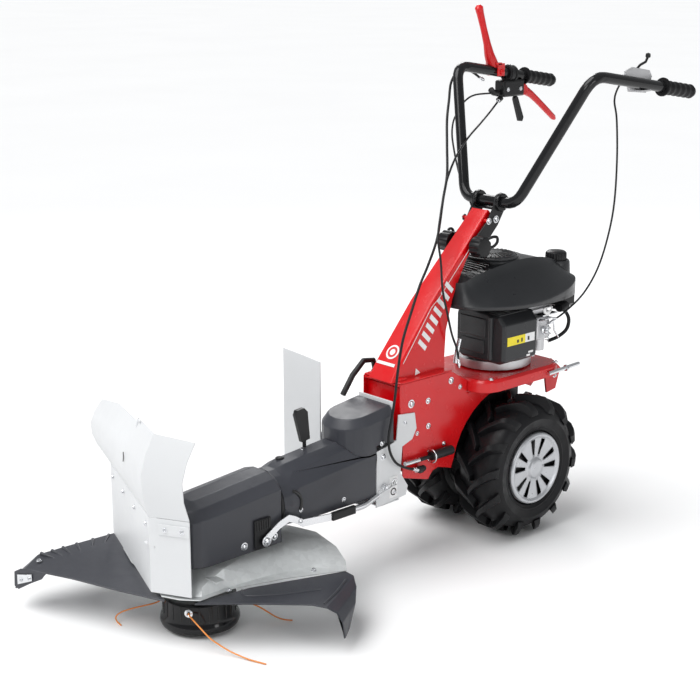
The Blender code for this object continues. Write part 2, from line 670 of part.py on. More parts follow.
def deck():
    """Curved metal deck of the guard: high round the gear case and to the rear, flat at its rim.

    Each ring of (u, v, z) points runs from the front, round the near side and the rear, back
    along the far side. The far side is narrower, because the deflector's long wing passes over it.
    """
    rim_z, top_z = GUARD_LEVEL + 0.0045, 0.142
    low = rim_z + 0.0005
    top = [
        (0.000, 0.086, 0.112), (0.036, 0.078, 0.118), (0.062, 0.030, 0.137), (0.085, -0.040, top_z),
        (0.120, -0.088, top_z), (0.140, -0.120, top_z), (0.130, -0.165, top_z), (0.090, -0.215, top_z),
        (0.000, -0.242, top_z), (-0.085, -0.215, top_z), (-0.112, -0.165, top_z),
        (-0.110, -0.100, top_z), (-0.085, -0.040, top_z), (-0.062, 0.030, 0.137), (-0.036, 0.078, 0.118),
    ]
    foot = [
        (0.000, 0.098, low), (0.038, 0.090, low), (0.072, 0.034, low), (0.128, -0.036, low),
        (0.205, -0.092, 0.106), (0.220, -0.120, 0.121), (0.190, -0.165, 0.131), (0.140, -0.220, 0.135),
        (0.000, -0.255, 0.135), (-0.118, -0.218, 0.132), (-0.158, -0.150, 0.104),
        (-0.160, -0.104, low), (-0.128, -0.036, low), (-0.072, 0.034, low), (-0.038, 0.090, low),
    ]
    rim = [
        (0.000, 0.110, rim_z), (0.040, 0.104, rim_z), (0.084, 0.034, rim_z), (0.168, -0.036, rim_z),
        (0.278, -0.106, rim_z), (0.268, -0.132, 0.110), (0.237, -0.175, 0.120), (0.180, -0.226, 0.126),
        (0.000, -0.266, 0.127), (-0.150, -0.222, 0.122), (-0.190, -0.150, rim_z),
        (-0.205, -0.100, rim_z), (-0.160, -0.036, rim_z), (-0.084, 0.034, rim_z), (-0.040, 0.104, rim_z),
    ]
    hole = circle((0, 0), 0.030, len(top))
    inner = [(-v, u, 0.144) for u, v in reversed(hole)]
    inner = inner[-1:] + inner[:-1]
    rows = [[guard_place(*point) for point in ring] for ring in (inner, top, foot, rim)]
    return lofted("guard_deck", rows, "galvanised", 0.002, closed=True, offset=0.0, smooth=50)


def flap(name, side, plan):
    """Dark flap of the guard: front and rear edge points, out to an end that is bent down."""
    rows = []
    for front, rear in plan:
        edges = [guard_place(side * u, v, z) for u, v, z in (front, rear)]
        rows.append([edges[0], edges[0].lerp(edges[1], 0.5), edges[1]])
    return lofted(name, rows, "grey_plastic", 0.004, offset=0.0, smooth=40)


def near_flap():
    level = GUARD_LEVEL - 0.0015
    plan = (
        ((0.030, 0.112, level), (0.036, 0.100, level)),
        ((0.130, 0.083, level), (0.110, 0.012, level)),
        ((0.250, 0.057, level), (0.272, -0.113, level)),
        ((0.280, 0.056, level - 0.003), (0.294, -0.101, level - 0.003)),
        ((0.300, 0.056, level - 0.012), (0.307, -0.070, level - 0.011)),
        ((0.311, 0.058, level - 0.030), (0.315, -0.030, level - 0.026)),
        ((0.3165, 0.060, level - 0.062), (0.319, 0.034, level - 0.052)),
    )
    return flap("near_flap", 1, plan)


def far_flap():
    level = GUARD_LEVEL - 0.0015
    plan = (
        ((0.030, 0.112, level), (0.036, 0.100, level)),
        ((0.130, 0.090, level), (0.110, 0.012, level)),
        ((0.250, 0.058, level), (0.262, -0.186, level)),
        ((0.330, 0.040, level - 0.002), (0.328, -0.096, level)),
        ((0.374, 0.030, level - 0.012), (0.372, -0.046, level - 0.004)),
        ((0.394, 0.022, level - 0.054), (0.399, -0.016, level - 0.030)),
    )
    return flap("far_flap", -1, plan)


FOLD = Vector((0.003, -0.117, 0.0))          # the deflector's vertical fold, ahead of the cover
WING = Vector((-0.933, 0.361, 0.0))          # its long wing sweeps back on the far side
NEAR_WING = Vector((0.883, 0.469, 0.0))      # and its short one on the near side
WING_FRONT = Vector((-0.361, -0.933, 0.0))   # forward from the long wing's face


def deflector_plate():
    """Upright plate in front of the head, folded to a V, with a bracket back to the gear case."""
    low, high = 0.106, 0.262
    far, near = FOLD + WING * 0.330, FOLD + NEAR_WING * 0.086
    rows = []
    for z in (low, (low + high) / 2, high):
        rows.append([(p.x, p.y, z) for p in (near, FOLD, FOLD + WING * 0.17, far)])
    plate = lofted("deflector_plate", rows, "white", 0.0025, offset=0.0, smooth=20)
    arm_low = block("deflector_stay", (-0.020, -0.1155, 0.200), (0.014, -0.0768, 0.204), "white")
    tab = block("deflector_tab", (-0.020, -0.0800, 0.190), (0.014, -0.0768, 0.222), "white")
    return joined(plate, arm_low, tab)


def deflector_flare():
    """Flared top of the deflector: leans forward from the fold, then curls back to its wavy edge."""
    rows = []
    start = 0.2632
    heights = (
        (-0.086, 0.156), (0.0, 0.165), (0.10, 0.160), (0.155, 0.148), (0.30, 0.138), (0.465, 0.100),
    )
    for rise, lean in ((0.0, 0.0), (0.25, 0.010), (0.5, 0.012), (0.75, 0.002), (1.0, -0.016)):
        row = []
        for reach, height in heights:
            base = FOLD - NEAR_WING * reach if reach < 0 else FOLD + WING * reach
            place = base + WING_FRONT * lean
            row.append((place.x, place.y, start + rise * height))
        rows.append(row)
    return lofted("deflector_flare", rows, "white", 0.0025, offset=0.0, smooth=40)


def tilt_lock():
    """Bracket on the head cover and the cranked lever that locks the head's tilt."""
    bracket = block("lock_bracket", (0.0690, 0.086, 0.155), (0.0745, 0.128, 0.218), "black", 0.001)
    pivot_y, pivot_z = 0.110, 0.172
    stud = rod("lock_stud", (0.074, pivot_y, pivot_z), (0.0835, pivot_y, pivot_z), 0.0045, "steel", 12)
    bracket = joined(bracket, stud)
    path = [(pivot_y, pivot_z), (0.145, 0.196), (0.170, 0.204), (0.188, 0.196), (0.206, 0.184), (0.285, 0.176)]
    upper = [(y, z + 0.008) for y, z in path]
    lower = [(y, z - 0.008) for y, z in reversed(path)]
    start = arc((pivot_y, pivot_z), 0.010, 250, 110, 6)
    lever = along_x(flat("lock_lever", [start + upper[1:] + lower[:-1]], 0.003, "steel"), 0.0785)
    hole = rod("lever_hole", (0.070, pivot_y, pivot_z), (0.09, pivot_y, pivot_z), 0.0049, "steel", 12)
    lever = cut(lever, hole)
    grip = block("lock_grip", (0.0740, 0.2856, 0.1665), (0.0840, 0.352, 0.1855), "black", 0.002, 1)
    on_pivot("lock_lever_axis", (0.0785, pivot_y, pivot_z), lever, grip)
    return bracket


# ---------------------------------------------------------------- engine
def crankcase():
    """Cast crankcase and cylinder block."""
    base = [
        (0.088, 0.408), (0.088, 0.388), (0.030, 0.388), (0.030, 0.400), (0.020, 0.410), (0.020, 0.540),
        (0.060, 0.540), (0.074, 0.500), (0.074, 0.415),
    ]
    case = turned("crankcase", base, (ENGINE_X, ENGINE_Y, 0), (0, 0, 1), "cast", 28)
    barrel = block("cylinder_block", (-0.045, 0.905, 0.430), (0.050, 1.000, 0.530), "cast", 0.006)
    return joined(case, barrel)


STARTER_X, STARTER_Z = -0.056, 0.5615    # line of the starter's rope under the shroud


def shroud_plan(inset):
    """Teardrop plan of the engine's shroud, narrow towards the column."""
    near = [
        (0.055, 0.693), (0.105, 0.733), (0.138, 0.795), (0.148, 0.870), (0.134, 0.955),
        (0.098, 1.012), (0.045, 1.034),
    ]
    plan = near + [(-x, y) for x, y in reversed(near)]
    centre = Vector((0.0, 0.865))
    shrunk = []
    for point in plan:
        away = Vector(point) - centre
        shrunk.append(centre + away * (1 - inset / away.length))
    return shrunk


def engine_shroud():
    """Shroud over the flywheel: its crest rises from the column and falls to the fuel cap."""
    crest = [(0.690, 0.603), (0.745, 0.621), (0.840, 0.637), (0.950, 0.629), (1.040, 0.598)]
    rows = []
    for inset, share in ((0.0, 0.0), (0.002, 0.25), (0.018, 0.70), (0.060, 1.0)):
        row = []
        for p in shroud_plan(inset):
            row.append((p.x, p.y, SHROUD_LOW + share * (interpolated(crest, p.y) - SHROUD_LOW)))
        rows.append(row)
    rows.append([(p.x, p.y, SHROUD_ROOF) for p in shroud_plan(0.072)])
    shroud = lofted(
        "engine_shroud", rows, "grey_plastic", SHEET, closed=True, roof=True, offset=-1.0, smooth=40
    )
    notch = rod("cap_notch", (*FUEL_CAP_AT, 0.53), (*FUEL_CAP_AT, 0.67), 0.0290, "black", 20)
    rope_hole = rod("rope_hole", (STARTER_X, 1.00, STARTER_Z), (STARTER_X, 1.05, STARTER_Z), 0.004, "black")
    return cut(shroud, notch, rope_hole)


def recoil_cover():
    """Vented starter cover on top of the shroud."""
    profile = [
        (0.062, 0.632), (0.062, 0.640), (0.052, 0.650), (0.020, 0.654), (0.0, 0.654),
        (0.0, 0.651), (0.019, 0.651), (0.050, 0.647), (0.059, 0.639), (0.059, 0.632),
    ]
    return turned("recoil_cover", profile[::-1], (0, 0.850, -0.0056), (0, 0, 1), "black_gloss", 28)


FUEL_CAP_AT = (0.040, 1.029)


def fuel_tank():
    """Tank behind the cylinder, with its neck standing up in a notch of the shroud."""
    tank = block("fuel_tank", (-0.040, 1.0005, 0.503), (0.085, 1.056, 0.543), "black", 0.008)
    neck = rod("fuel_neck", (*FUEL_CAP_AT, 0.535), (*FUEL_CAP_AT, 0.6065), 0.017, "black", 20)
    return joined(tank, neck)


def fuel_cap():
    profile = [
        (0.0255, 0.024), (0.0255, 0.0), (0.0185, 0.0), (0.0185, 0.018), (0.0, 0.018),
        (0.0, 0.028), (0.021, 0.028),
    ]
    return turned("fuel_cap", profile, (*FUEL_CAP_AT, 0.6050), (0, 0, 1), "black", 24)


def crankshaft():
    """Vertical crankshaft with the flywheel above and the clutch drum below."""
    y = ENGINE_Y
    shaft = rod("crankshaft", (0, y, 0.300), (0, y, 0.560), 0.011, "steel", 14)
    wheel_disc = rod("flywheel", (0, y, 0.5505), (0, y, 0.566), 0.042, "cast", 24)
    clutch = rod("clutch_drum", (0, y, 0.3585), (0, y, 0.379), 0.048, "steel", 24)
    return joined(shaft, wheel_disc, clutch)


def filter_rings():
    """Faceted box outlines of the filter housing, from its front to its rear."""
    outline = [
        (0.104, 0.416), (0.120, 0.425), (0.120, 0.508), (0.104, 0.528), (-0.010, 0.536), (-0.026, 0.520),
        (-0.026, 0.426), (-0.010, 0.416),
    ]
    rings = []
    for y, shrink in ((0.762, 0.005), (0.769, 0.0), (0.872, 0.0), (0.878, 0.005)):
        across, up = 1 - shrink / 0.073, 1 - shrink / 0.060
        rings.append([(0.047 + (x - 0.047) * across, y, 0.476 + (z - 0.476) * up) for x, z in outline])
    return rings


def filter_housing():
    """Filter box beside the crankcase: its inner side is cut to clear the casting."""
    box = solid_loft("air_filter", filter_rings(), "grey_plastic")
    clear = rod("filter_cutter", (0, ENGINE_Y, 0.40), (0, ENGINE_Y, 0.56), 0.0795, "black", 28)
    return cut(box, clear)


def carburettor():
    body = block("carburettor", (0.078, 0.884, 0.452), (0.112, 0.930, 0.506), "cast", 0.004)
    bowl = rod("float_bowl", (0.095, 0.907, 0.426), (0.095, 0.907, 0.456), 0.015, "cast", 16)
    return joined(body, bowl)


def muffler():
    return block("muffler", (-0.128, 0.880, 0.432), (-0.082, 0.985, 0.524), "black", 0.010)


def starter_grip():
    """Pull grip of the recoil starter, with its rope reaching into the shroud."""
    x, y, z = STARTER_X, 1.0480, STARTER_Z
    rope = rod("starter_rope", (x, 0.745, z), (x, y, z), 0.0016, "black", 8)
    handle = rod("starter_grip", (x - 0.026, y, z), (x + 0.026, y, z), 0.0085, "black", 12)
    return joined(handle, rope)


# ---------------------------------------------------------------- handlebar and controls
def handlebar():
    """One tube, mirrored about the middle, bent up from the column and back to the grips."""
    half = [(0.0, *BAR_FOOT), (0.077, *BAR_FOOT), BAR_BEND, BAR_REAR]
    path = [(-x, y, z) for x, y, z in reversed(half[1:])] + half[1:]
    return tube("handlebar", filleted(path, 0.045), TUBE_RADIUS, "black_gloss", 3)


def bar_at(side, y):
    """Centre of the handlebar tube on its straight run back to the grips."""
    along = (y - BAR_BEND[1]) / (BAR_REAR[1] - BAR_BEND[1])
    place = Vector(BAR_BEND).lerp(Vector(BAR_REAR), along)
    return Vector((side * place.x, y, place.z))


def grip(side):
    """Rubber grip with a flange, sleeved over the end of the tube."""
    start, end = bar_at(side, 1.178), bar_at(side, BAR_REAR[1])
    away = (end - start).normalized()
    length = (end - start).length
    bore = TUBE_RADIUS + GAP
    profile = [
        (0.0215, 0.004), (0.0215, 0.0), (bore, 0.0), (bore, length + GAP), (0.0, length + GAP),
        (0.0, length + 0.005), (0.012, length + 0.004), (0.0155, length - 0.002), (0.0152, 0.010),
        (0.0170, 0.006),
    ]
    tag = "left" if side > 0 else "right"
    return turned(f"grip_{tag}", profile, start, away, "rubber", 20)


def handlebar_bracket():
    """Two black cheeks beside the column top, tied by saddles under the tube."""
    cheek = arc(BAR_FOOT, 0.0215, -50, 190, 8)
    cheek += [(0.796, 0.728), (0.752, 0.690), (0.740, 0.668), (0.760, 0.656), (0.786, 0.672), (0.830, 0.716)]
    cheeks = []
    for side in (1, -1):
        tag = "left" if side > 0 else "right"
        name = "handlebar_bracket" if side > 0 else f"bracket_cheek_{tag}"
        cheeks.append(along_x(flat(name, [cheek], 0.004, "black"), side * 0.0315))
    saddle = block("bracket_saddle", (-0.0325, 0.8265, 0.7490), (0.0325, 0.8495, 0.7520), "black")
    body = joined(cheeks[0], cheeks[1], saddle)
    seat = rod("tube_seat", (-0.08, *BAR_FOOT), (0.08, *BAR_FOOT), TUBE_RADIUS + GAP, "black", 20)
    pivot = rod("pivot_hole", (-0.08, *BAR_PIVOT[1:]), (0.08, *BAR_PIVOT[1:]), 0.0046, "black", 12)
    return cut(body, seat, pivot)


def clamp_knob():
    """Ribbed knobs on a cross bolt that clamps the handlebar's angle."""
    y, z = 0.7560, 0.6780
    knob = bevelled(rod("clamp_knob", (0.0340, y, z), (0.0640, y, z), 0.024, "black", 18), 0.002, 1, 60)
    on_pivot("clamp_knob_axis", (0.049, y, z), knob)


def lever_clamp():
    """Black housing under the right-hand tube that carries the three levers."""
    x = LEVER_SIDE
    body = block("lever_clamp", (x - 0.017, 1.090, 0.966), (x + 0.017, 1.166, 1.006), "black", 0.004)
    band = rod("clamp_band", bar_at(-1, 1.112), bar_at(-1, 1.140), 0.0190, "black", 18)
    tube_hole = rod("clamp_bore", bar_at(-1, 1.05), bar_at(-1, 1.19), TUBE_RADIUS + GAP, "black", 20)
    return cut(joined(body, band), tube_hole)


def clutch_lever():
    """Red upright lever: a clevis astride the tube, the shank and its bulb tip."""
    x = LEVER_SIDE
    path = [
        (x, 1.066, 1.048), (x, 1.053, 1.068), (x, 1.044, 1.094), (x, 1.030, 1.130),
        (x, 1.016, 1.168), (x, 1.010, 1.182),
    ]
    shank = tube("clutch_lever", path, 0.0062, "red")
    bulb = rod("clutch_bulb", (x, 1.0150, 1.171), (x, 1.0085, 1.186), 0.0095, "red", 14)
    bridge = block("clevis_bridge", (x - 0.0190, 1.058, 1.0440), (x + 0.0190, 1.076, 1.0520), "red")
    cheeks = []
    for side in (-1, 1):
        middle = x + side * 0.0170
        low, high = (middle - 0.002, 1.064, 1.0180), (middle + 0.002, 1.088, 1.0480)
        cheeks.append(block(f"clevis_cheek_{side + 1}", low, high, "red"))
    lever = joined(shank, bulb, bridge, *cheeks)
    on_pivot("clutch_lever_axis", (x, 1.078, 1.0275), lever)


def brake_lever():
    """Red lower lever that hangs behind the clamp and is squeezed up to the grip."""
    x = LEVER_SIDE
    path = [(x, 1.1705, 0.980), (x, 1.205, 0.966), (x, 1.250, 0.936), (x, 1.304, 0.896)]
    lever = tube("brake_lever", path, 0.0072, "red")
    on_pivot("brake_lever_axis", path[0], lever)


def release_lever():
    """Short black lever under the clamp."""
    x = LEVER_SIDE
    y, z = 1.148, 0.9585
    outline = arc((y, z), 0.0068, 200, 0, 6) + [(1.176, 0.912), (1.172, 0.902), (1.162, 0.903)]
    lever = along_x(flat("release_lever", [outline], 0.010, "black"), x + 0.002)
    on_pivot("release_lever_axis", (x + 0.002, y, z), as_mesh(lever))


def throttle():
    """Plate-bodied throttle on the near tube, with its curled lever."""
    x = bar_at(1, 1.11).x - TUBE_RADIUS - 0.0045
    outline = [(1.063, 1.052), (1.090, 1.060), (1.150, 1.050), (1.160, 1.036), (1.140, 1.000), (1.080, 1.006)]
    body = along_x(flat("throttle_body", [outline], 0.007, "cast"), x)
    path = [(x - 0.008, 1.096, 1.040), (x - 0.008, 1.128, 1.062), (x - 0.008, 1.148, 1.068), (x - 0.008, 1.156, 1.080)]
    lever = tube("throttle_lever", path, 0.0032, "black")
    on_pivot("throttle_lever_axis", path[0], lever)
    return body


CABLE_ROUTES = {
    "clutch_cable": (0.0030, [
        (-0.2240, 1.0520, 1.0080), (-0.2255, 1.0030, 1.0330), (-0.2270, 0.9640, 1.0300),
        (-0.2180, 0.9340, 1.0080), (-0.1900, 0.8988, 0.9730), (-0.1650, 0.8670, 0.9311),
        (-0.1300, 0.8317, 0.8797), (-0.0850, 0.7863, 0.8202), (-0.0500, 0.7380, 0.7729),
        (-0.0120, 0.6828, 0.7017), (0.0200, 0.6225, 0.6532), (0.0370, 0.5803, 0.6173),
        (0.0440, 0.5499, 0.5683), (0.0500, 0.5177, 0.5089), (0.0580, 0.4957, 0.4483),
        (0.0690, 0.4757, 0.3877), (0.0725, 0.4633, 0.3467), (0.0725, 0.4553, 0.3084),
        (0.0730, 0.4591, 0.2763), (0.0740, 0.4764, 0.2475), (0.0730, 0.5079, 0.2282),
        (0.0720, 0.5459, 0.2141),
    ]),
    "drive_cable": (0.0025, [
        (-0.2055, 1.0943, 0.9616), (-0.1900, 1.0420, 0.9349), (-0.1500, 0.9637, 0.9156),
        (-0.1150, 0.8856, 0.8925), (-0.0800, 0.8094, 0.8593), (-0.0480, 0.7477, 0.8170),
        (-0.0220, 0.7088, 0.7796), (-0.0060, 0.6850, 0.7503), (0.0200, 0.6513, 0.7081),
        (0.0400, 0.6405, 0.6589), (0.0440, 0.6435, 0.5973), (0.0490, 0.6554, 0.5402),
        (0.0500, 0.6693, 0.4931), (0.0500, 0.6864, 0.4557), (0.0520, 0.6917, 0.4182),
    ]),
    "throttle_cable": (0.0022, [
        (0.1879, 1.0590, 1.0350), (0.1860, 1.0420, 1.0150), (0.1880, 1.0300, 0.9900),
        (0.2010, 1.0245, 0.9496), (0.2050, 1.0270, 0.8612), (0.2000, 1.0304, 0.7593),
        (0.1900, 1.0240, 0.6790), (0.1750, 1.0118, 0.6092), (0.1550, 0.9902, 0.5532),
        (0.1350, 0.9562, 0.5153), (0.1200, 0.9300, 0.4942), (0.1155, 0.9230, 0.4880),
    ]),
}


def cables():
    for name, (radius, points) in CABLE_ROUTES.items():
        tube(name, smooth_route(points, 0.022), radius, "black", 1)


# ---------------------------------------------------------------- assembly
for which in (1, -1):
    wheel(which)
    grip(which)
axle_and_transmission()
chassis_frame()
column()
engine_plate()
hitch()
hitch_pin()
coupling_plunger()
gear_lever()
arm()
middle_cover()
head_cover()
rear_cover()
selector_lever()
rear_guard()
gear_case()
deflector_plate()
deflector_flare()
tilt_lock()
on_pivot("cutter_axis", (0, 0, 0), spindle(), cutter_drum(), line_spool(), *trimmer_lines())
on_pivot("guard_axis", (0, 0, 0.1), deck(), near_flap(), far_flap())
crankcase()
engine_shroud()
recoil_cover()
fuel_tank()
fuel_cap()
crankshaft()
filter_housing()
carburettor()
muffler()
starter_grip()
handlebar()
handlebar_bracket()
clamp_knob()
lever_clamp()
clutch_lever()
brake_lever()
release_lever()
throttle()
cables()
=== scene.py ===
"""Looks of the walk-behind brush mower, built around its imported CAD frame."""

import math

import bmesh
import bpy
from mathutils import Matrix, Vector


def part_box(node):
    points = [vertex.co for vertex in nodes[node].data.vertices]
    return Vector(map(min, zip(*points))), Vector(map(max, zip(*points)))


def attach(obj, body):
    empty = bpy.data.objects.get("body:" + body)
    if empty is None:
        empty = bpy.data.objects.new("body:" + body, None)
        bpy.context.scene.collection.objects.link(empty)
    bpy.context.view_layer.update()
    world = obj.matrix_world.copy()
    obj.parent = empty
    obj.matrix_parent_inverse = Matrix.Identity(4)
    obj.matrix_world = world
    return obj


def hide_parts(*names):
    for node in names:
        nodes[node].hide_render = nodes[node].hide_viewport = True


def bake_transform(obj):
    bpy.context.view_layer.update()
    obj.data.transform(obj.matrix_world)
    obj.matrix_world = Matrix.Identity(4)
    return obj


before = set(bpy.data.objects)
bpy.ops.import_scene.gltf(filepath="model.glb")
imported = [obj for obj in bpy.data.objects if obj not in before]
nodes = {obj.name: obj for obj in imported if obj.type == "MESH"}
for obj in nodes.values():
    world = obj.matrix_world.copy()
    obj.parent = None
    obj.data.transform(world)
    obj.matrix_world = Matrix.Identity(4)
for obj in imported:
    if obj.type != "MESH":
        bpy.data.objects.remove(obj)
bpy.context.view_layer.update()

# ---------------------------------------------------------------- measures, all in metres
FOCAL_MM = 76.23
SENSOR_MM = 36.0
EYE = Vector((2.2224, -1.6342, 1.3178))
EYE_AZIMUTH, EYE_TILT = math.radians(47.39), math.radians(15.22)
MACHINE_MIDDLE = (0.0, 0.6, 0.45)
FLOOR_HALF = 70.0
SKY_SEEN = (0.97, 0.97, 0.97, 1.0)
SKY_LIGHT = (0.96, 0.98, 1.0, 1.0)
SKY_STRENGTH = 0.38

AXLE_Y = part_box("axle")[0].y + 0.010
WHEEL_Z = 0.165
TYRE_RADIUS = 0.165
TYRE_HALF = 0.0625
WHEEL_X = 0.0925
LUGS = 14                     # tread bars round each side of a tyre
LUG_STATIONS = 7              # sections along a tread bar
LUG_SWEEP = math.radians(21.0)
CAP_STEPS = 120               # points round a wheel cap, 24 for each pair of slots
CAP_PAIR = 24
CAP_SLOTTED = (3, 4, 5, 6, 13, 14, 15, 16)
SLOT_LOW, SLOT_HIGH = 0.033, 0.07
PLATE_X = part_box("chassis_frame")[1].x
CHEEK_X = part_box("hitch_bracket")[1].x
BRACKET_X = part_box("handlebar_bracket")[1].x
FILTER_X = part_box("air_filter")[1].x
FILTER_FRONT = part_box("air_filter")[0].y
COVER_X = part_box("head_cover")[1].x
BAR_FOOT = Vector((0.0, 0.838, 0.7665))
BAR_BEND = Vector((0.202, 0.937, 1.05))
BAR_REAR = Vector((0.208, 1.288, 0.995))
LEVER_X = -0.2055
CAP_AT = (0.04, 1.029, 0.605)
RECOIL_AT = (0.0, 0.85)
SHROUD_LOW = 0.5465           # lower rim of the engine cowl
KNOB_AT = (0.756, 0.678)
GUARD_ANGLE = math.radians(33.0)
GUARD_TOP = 0.0965            # upper face of the guard's flaps
FOLD = Vector((0.003, -0.117, 0.0))
WING = Vector((-0.933, 0.361, 0.0))
NEAR_WING = Vector((0.883, 0.469, 0.0))
WING_FRONT = Vector((-0.361, -0.933, 0.0))
NEAR_FRONT = Vector((0.469, -0.883, 0.0))

LEFT, RIGHT = Vector((1, 0, 0)), Vector((-1, 0, 0))
FORWARD, BACK, UP = Vector((0, -1, 0)), Vector((0, 1, 0)), Vector((0, 0, 1))


# ---------------------------------------------------------------- camera, light, floor
def camera():
    data = bpy.data.cameras.new("camera")
    data.lens = FOCAL_MM
    data.sensor_width = SENSOR_MM
    data.clip_end = 2 * FLOOR_HALF
    obj = bpy.data.objects.new("camera", data)
    bpy.context.scene.collection.objects.link(obj)
    away = Vector((
        math.sin(EYE_AZIMUTH) * math.cos(EYE_TILT),
        -math.cos(EYE_AZIMUTH) * math.cos(EYE_TILT),
        math.sin(EYE_TILT),
    ))
    obj.location = EYE
    obj.rotation_mode = "QUATERNION"
    obj.rotation_quaternion = (-away).to_track_quat("-Z", "Y")
    bpy.context.scene.camera = obj


def lamp(name, data, direction, place=(0, 0, 0)):
    obj = bpy.data.objects.new(name, data)
    bpy.context.scene.collection.objects.link(obj)
    obj.location = place
    obj.rotation_mode = "QUATERNION"
    obj.rotation_quaternion = Vector(direction).to_track_quat("-Z", "Y")


def softbox(name, place, size, watts):
    """A rectangular light that faces the middle of the machine."""
    data = bpy.data.lights.new(name, "AREA")
    data.shape = "RECTANGLE"
    data.size, data.size_y = size
    data.energy = watts
    lamp(name, data, Vector(MACHINE_MIDDLE) - Vector(place), place)


def sun(direction, strength, spread):
    data = bpy.data.lights.new("sun", "SUN")
    data.energy = strength
    data.angle = math.radians(spread)
    lamp("sun", data, direction)


def studio():
    """A white surround that the camera sees, a dimmer one that lights, a wide sun and softboxes."""
    world = bpy.data.worlds.new("studio")
    world.use_nodes = True
    tree = world.node_tree
    seen = tree.nodes["Background"]
    seen.inputs["Color"].default_value = SKY_SEEN
    lit = tree.nodes.new("ShaderNodeBackground")
    lit.inputs["Color"].default_value = SKY_LIGHT
    lit.inputs["Strength"].default_value = SKY_STRENGTH
    mix = tree.nodes.new("ShaderNodeMixShader")
    rays = tree.nodes.new("ShaderNodeLightPath")
    tree.links.new(rays.outputs["Is Camera Ray"], mix.inputs["Fac"])
    tree.links.new(lit.outputs["Background"], mix.inputs[1])
    tree.links.new(seen.outputs["Background"], mix.inputs[2])
    tree.links.new(mix.outputs["Shader"], tree.nodes["World Output"].inputs["Surface"])
    bpy.context.scene.world = world
    bpy.context.scene.view_settings.view_transform = "Standard"
    sun((0.25, 0.5, -1.0), 2.55, 50)
    softbox("key", (1.0, -2.6, 2.6), (1.6, 1.2), 24)
    softbox("side", (3.4, 0.6, 1.2), (0.7, 1.8), 16)
    softbox("rim", (-2.4, 2.6, 2.4), (1.2, 1.6), 26)

    bm = bmesh.new()
    bmesh.ops.create_grid(bm, x_segments=1, y_segments=1, size=FLOOR_HALF)
    mesh = bpy.data.meshes.new("floor")
    bm.to_mesh(mesh)
    bm.free()
    floor = bpy.data.objects.new("floor", mesh)
    bpy.context.scene.collection.objects.link(floor)
    floor.data.materials.append(finish("floor_paper", (0.93, 0.93, 0.93), 0.9, patch=(0.8, 0.01)))


# ---------------------------------------------------------------- materials
def finish(
    name, colour, roughness, metallic=0.0, coat=0.0, patch=(9.0, 0.06), grain=None,
    vary=0.06, edge=0.0, spangle=0.0, brushed=0.0, subsurface=0.0, shine=0.5,
):
    """A procedural Principled material: clouded colour, uneven gloss, fine relief and worn edges."""
    material = bpy.data.materials.new(name)
    material.use_nodes = True
    tree = material.node_tree
    shader = tree.nodes["Principled BSDF"]
    shader.inputs["Metallic"].default_value = metallic
    shader.inputs["Coat Weight"].default_value = coat
    shader.inputs["Coat Roughness"].default_value = 0.06
    shader.inputs["Subsurface Weight"].default_value = subsurface
    shader.inputs["Specular IOR Level"].default_value = shine
    place = tree.nodes.new("ShaderNodeTexCoord").outputs["Object"]

    def noise(scale, detail=3.0, stretch=None):
        texture = tree.nodes.new("ShaderNodeTexNoise")
        texture.inputs["Scale"].default_value = scale
        texture.inputs["Detail"].default_value = detail
        source = place
        if stretch:
            mapping = tree.nodes.new("ShaderNodeMapping")
            mapping.inputs["Scale"].default_value = stretch
            tree.links.new(place, mapping.inputs["Vector"])
            source = mapping.outputs["Vector"]
        tree.links.new(source, texture.inputs["Vector"])
        return texture.outputs["Fac"]

    def mixed(factor, dark, light):
        mix = tree.nodes.new("ShaderNodeMix")
        mix.data_type = "RGBA"
        mix.inputs["A"].default_value = (*dark, 1.0)
        mix.inputs["B"].default_value = (*light, 1.0)
        tree.links.new(factor, mix.inputs["Factor"])
        return mix

    def ranged(value, low, high, start=0.3, end=0.7):
        ramp = tree.nodes.new("ShaderNodeMapRange")
        ramp.inputs["From Min"].default_value = start
        ramp.inputs["From Max"].default_value = end
        ramp.inputs["To Min"].default_value = low
        ramp.inputs["To Max"].default_value = high
        tree.links.new(value, ramp.inputs["Value"])
        return ramp.outputs["Result"]

    darker = [c * (1 - patch[1]) for c in colour]
    lighter = [min(1.0, c * (1 + patch[1])) for c in colour]
    cloud = mixed(ranged(noise(patch[0]), 0.0, 1.0), darker, lighter)
    shade = cloud.outputs["Result"]
    if spangle:
        cells = tree.nodes.new("ShaderNodeTexVoronoi")
        cells.inputs["Scale"].default_value = 95.0
        tree.links.new(place, cells.inputs["Vector"])
        flake = mixed(cells.outputs["Color"], [c * (1 - spangle) for c in colour], lighter)
        flake.blend_type = "MIX"
        shade = flake.outputs["Result"]
    if edge:
        shape = tree.nodes.new("ShaderNodeNewGeometry").outputs["Pointiness"]
        worn = tree.nodes.new("ShaderNodeMix")
        worn.data_type = "RGBA"
        pale = [min(1.0, c + edge * (0.75 - c)) for c in colour]
        worn.inputs["B"].default_value = (*pale, 1.0)
        tree.links.new(shade, worn.inputs["A"])
        tree.links.new(ranged(shape, 0.0, 1.0, 0.52, 0.62), worn.inputs["Factor"])
        shade = worn.outputs["Result"]
    tree.links.new(shade, shader.inputs["Base Color"])

    gloss = noise(38.0, 4.0, (1, 1, 26) if brushed else None)
    low, high = max(0.02, roughness - vary), min(1.0, roughness + vary)
    tree.links.new(ranged(gloss, low, high), shader.inputs["Roughness"])
    if grain or brushed:
        scale, strength = grain or (60.0, brushed)
        bump = tree.nodes.new("ShaderNodeBump")
        bump.inputs["Strength"].default_value = strength
        bump.inputs["Distance"].default_value = 0.0004
        relief = noise(scale, 2.0, (1, 1, 30) if brushed else None)
        tree.links.new(relief, bump.inputs["Height"])
        tree.links.new(bump.outputs["Normal"], shader.inputs["Normal"])
    return material


